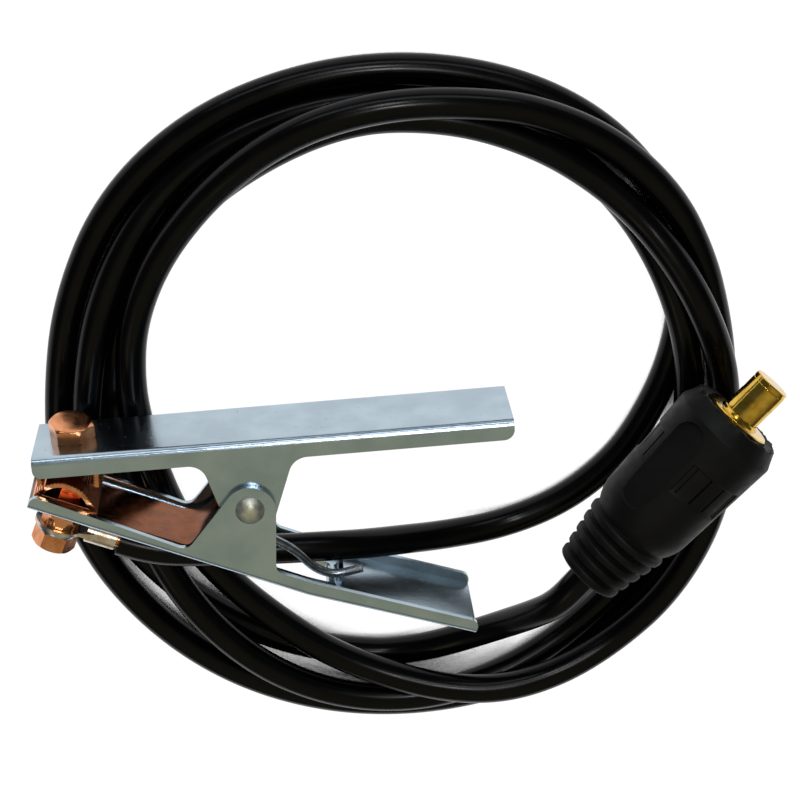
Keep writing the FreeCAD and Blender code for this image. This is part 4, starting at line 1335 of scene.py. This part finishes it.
@dataclass
class Cable:
    """Rubber cable from the lug through the slot, four loose laps on the floor, and up into the boot."""

    radius: float = 5.2
    centre: tuple[float, float] = (51.1, 11.8)
    length: float = 2.925
    usual_step: float = 16.0         # degrees, taken for the step beyond either end of the laps
    clamp_run: tuple[tuple[float, float, float], ...] = (
        (-45.9, -15.6, 0), (-36.35, -20.1, 0), (-22.4, -22.3, 0), (-5.6, -23.2, 0), (8.6, -24.2, 0.0),
        (24.0, -26.0, -2.5), (37.0, -29.3, -8.2), (50.0, -33.4, -16.9), (65.0, -37.4, -25.4),
        (86.0, -38.6, FLOOR + 5.6), (107.0, -32.0, FLOOR + 5.2), (124.0, -20.5, FLOOR + 5.2))
    # each lap lies where the photograph shows it: degrees round the centre, radius, height of its middle
    laps: tuple[tuple[tuple[float, float, float], ...], ...] = (
        ((-12, 86.5, 5.2), (4, 97.5, 5.2), (19, 108.5, 5.2), (34, 117, 5.2), (50, 120.4, 5.2),
         (66, 120.4, 5.2), (84, 119.4, 5.2), (102, 119.4, 5.2), (120, 120.4, 5.2), (138, 119.8, 5.2),
         (156, 116.4, 5.2), (172, 114.8, 5.2), (188, 117.5, 5.2), (205, 118.6, 5.2), (222, 119.0, 5.2),
         (238, 119.9, 5.2), (254, 120.2, 5.2), (270, 120.4, 5.2), (286, 121.2, 5.2), (302, 121.6, 5.2),
         (318, 121.4, 5.2), (334, 119.4, 5.2), (350, 116.6, 5.2)),
        # up over the first at the upper right, inside it at the left, over everything at the bottom
        ((4, 115.2, 5.8), (14, 115.4, 9.0), (24, 116.9, 14.0), (36, 119.6, 15.6), (50, 119.6, 17),
         (64, 117.4, 20.5), (76, 114, 23.4), (86, 112.2, 24.5), (95, 110.4, 24.5), (104, 108.2, 23.4),
         (114, 104.9, 21.2), (126, 100.8, 16.8), (140, 98, 15.6), (154, 95, 14.8), (167, 91, 13.8),
         (178, 87.8, 12.8), (189, 85.4, 11.8), (200, 85.4, 11), (212, 86.2, 11), (226, 87.2, 12),
         (240, 90, 14), (252, 95.0, 15.8), (264, 100.4, 17.8), (275, 106.2, 21.4), (286, 112.6, 22.8),
         (297, 117.4, 20), (308, 120.4, 16), (320, 121.4, 15.6), (334, 120.0, 15.4), (348, 117, 15.4)),
        ((358, 114.6, 16.2), (6, 113, 21.2), (14, 111, 24), (22, 109.8, 24.2), (30, 108.8, 21.4),
         (38, 107.9, 17.2), (48, 107, 15.6), (60, 106.5, 15.6), (74, 106.3, 15.6), (88, 106.1, 15.5),
         (98, 104.8, 14.9), (108, 102.4, 13), (118, 100.2, 9.1), (128, 98.8, 5.2), (142, 98.7, 5.2),
         (156, 98.2, 5.2), (168, 97.4, 5.2), (180, 96.3, 5.2), (189, 96, 8), (198, 96.4, 11.8),
         (208, 97.8, 14.6), (220, 101, 15.9), (232, 105, 15.9), (244, 109.4, 15.1), (256, 112.6, 14.2),
         (268, 113.8, 13.8), (280, 113.4, 12.6), (292, 112.4, 9.8), (304, 111.6, 6.0), (318, 109.6, 5.2),
         (336, 106.2, 5.2)),
        ((350, 103.2, 8), (2, 102.8, 13.5), (11, 103.2, 15.9), (20, 103.8, 15.3), (28, 104.7, 12.3),
         (36, 105.5, 7.4), (46, 106.3, 5.2), (60, 107.2, 5.2), (74, 108, 5.2), (88, 108.8, 5.2),
         (102, 109.4, 5.2), (116, 110.2, 5.2), (128, 110.2, 6.1), (140, 109.0, 9.5), (154, 106.7, 13),
         (168, 105, 13), (180, 106, 11.3), (189, 107.3, 8.7), (198, 107.0, 6.1), (208, 105.4, 5.2),
         (220, 103.2, 5.2), (234, 101, 5.2), (248, 99.8, 5.2), (262, 98.8, 5.2)))
    plug_run: tuple[tuple[float, float, float], ...] = (
        (49.0, -86.6, FLOOR + 5.9), (60.0, -84.3, FLOOR + 8.1), (73.0, -78.8, FLOOR + 12.4),
        (84.0, -71.7, FLOOR + 19.4), (94.5, -62.4, FLOOR + 30.2), (102.5, -54.6, FLOOR + 37.8))

    def route(self, plug: Plug) -> list[Vector]:
        """The spline's control points in metres, a lap's pushed out so that the smooth line keeps its radius.

        Args:
            plug: the plug that the cable ends in.

        Returns:
            The points from the lug's end of the jacket to inside the boot.
        """
        points = [spot(*p) for p in self.clamp_run]
        turns = [p for lap in self.laps for p in lap]
        for i, (degrees, radius, height) in enumerate(turns):
            before = turns[i - 1][0] if i else degrees - self.usual_step
            after = turns[i + 1][0] if i + 1 < len(turns) else degrees + self.usual_step
            out = pushed_out(radius, (((degrees - before) % 360) + ((after - degrees) % 360)) / 2)
            turn = math.radians(degrees)
            x, y = self.centre[0] + out * math.cos(turn), self.centre[1] + out * math.sin(turn)
            points.append(spot(x, y, FLOOR + height))
        points += [spot(*p) for p in self.plug_run]
        points += [plug.place() @ Vector((along * MM, 0, 0)) for along in (-2.0, 31.0)]
        return points

    def build(self, plug: Plug, plug_pieces: list[Piece]) -> None:
        """Args:
            plug: the plug that the cable ends in.
            plug_pieces: what moves with its end; not used.
        """
        points = self.route(plug)
        cable = tube("cable", points, self.radius, 10, 6)
        hand_over(cable, JACKET, Body.LOWER, "clamp_cable", "cable_coil", "plug_cable")


@dataclass
class Studio:
    """The paper floor, the lamps and the camera, in metres."""

    paper: float = 2.2               # radius of the sheet
    rim: float = 0.4                 # width of its curled rim
    curl: float = 0.05

    def camera(self) -> None:
        """The photograph's view: high over the floor, from the upper lever's side."""
        data = bpy.data.cameras.new("camera")
        data.lens, data.sensor_width = 90, 36
        camera = bpy.data.objects.new("camera", data)
        bpy.context.scene.collection.objects.link(camera)
        right, up, back = (Vector(v).normalized() for v in (
            (0.99599, -0.06189, 0.06454), (0.08248, 0.91461, -0.39583), (-0.03453, 0.39956, 0.91605)))
        place = Matrix((right, up, back)).transposed().to_4x4()
        place.translation = (0.02214, 0.30515, 0.60786)
        camera.matrix_world = place
        bpy.context.scene.camera = camera

    def floor(self) -> None:
        """A wide sheet of paper, its rim curled up a little."""
        bpy.ops.object.select_all(action="DESELECT")
        bpy.ops.mesh.primitive_circle_add(vertices=96, radius=self.paper, fill_type="NGON",
                                          location=(0, 0, (FLOOR + SHIFT.z) * MM))
        paper = name_piece("floor")
        edit(paper, Part.FACE)
        bpy.ops.mesh.select_all(action="SELECT")
        bpy.ops.mesh.inset(thickness=self.rim)
        leave()
        edit(paper, Part.VERT)
        pick(paper, Part.VERT, lambda at, _: at.xy.length > self.paper - self.rim / 4)
        bpy.ops.transform.translate(value=(0, 0, self.curl))
        leave()
        settle(paper)
        PAPER.on(paper)

    def lamp(self, name: str, at: tuple[float, float, float], size: tuple[float, float], power: float,
             colour: str = "#FFFFFF") -> None:
        """A soft lamp that faces the clamp.

        Args:
            name: the lamp's name.
            at: its place in metres.
            size: its width and height in metres.
            power: in watts.
            colour: a hex colour.
        """
        data = bpy.data.lights.new(name, "AREA")
        data.shape, data.energy, data.color = "RECTANGLE", power, linear(colour)[:3]
        data.size, data.size_y = size
        lamp = bpy.data.objects.new(name, data)
        bpy.context.scene.collection.objects.link(lamp)
        lamp.location = at
        lamp.rotation_euler = (Vector(at) - Vector((0.03, 0.0, 0.0))).to_track_quat("Z", "Y").to_euler()

    def build(self) -> None:
        """Sets the stage: view, floor, lamps and the room's even light."""
        self.camera()
        self.floor()
        self.lamp("overhead", (0.06, 0.85, 1.0), (0.17, 0.17), 2.5)
        self.lamp("flash", (0.11, 0.32, 0.78), (0.08, 0.08), 1.3)
        self.lamp("back_left", (-0.75, -0.62, 1.1), (0.4, 0.4), 0.6, "#FFF4E4")
        self.lamp("window", (0.07, 1.26, 0.53), (1.5, 0.2), 3.8, "#F2F8FF")
        world = bpy.data.worlds.new("room")
        bpy.context.scene.world = world
        world.use_nodes = True
        tree = world.node_tree
        tree.nodes.clear()
        way = add(tree, "ShaderNodeTexCoord").outputs["Generated"]
        facing = add(tree, "ShaderNodeVectorMath", {0: way, 1: (0.0, -0.46, 0.89)}, operation="DOT_PRODUCT")
        lit = between(tree, facing.outputs["Value"], 0.55, 0.95)
        back = add(tree, "ShaderNodeBackground", {"Color": blend_colours(tree, lit, "#4E5256", "#AFAA8F")})
        add(tree, "ShaderNodeOutputWorld", {0: back.outputs[0]})
        bpy.context.scene.view_settings.view_transform = "Standard"


def main() -> None:
    """Builds the stage and every piece."""
    logging.basicConfig(level=logging.INFO, format="%(name)s: %(message)s")
    Studio().build()
    plug = Plug()
    plug_pieces = plug.build()
    Cable().build(plug, plug_pieces)
    Pressings().build()
    Jaws().build()
    Spring().build()
    Strap().build()
    bpy.context.view_layer.update()


if __name__ == "__main__":
    main()
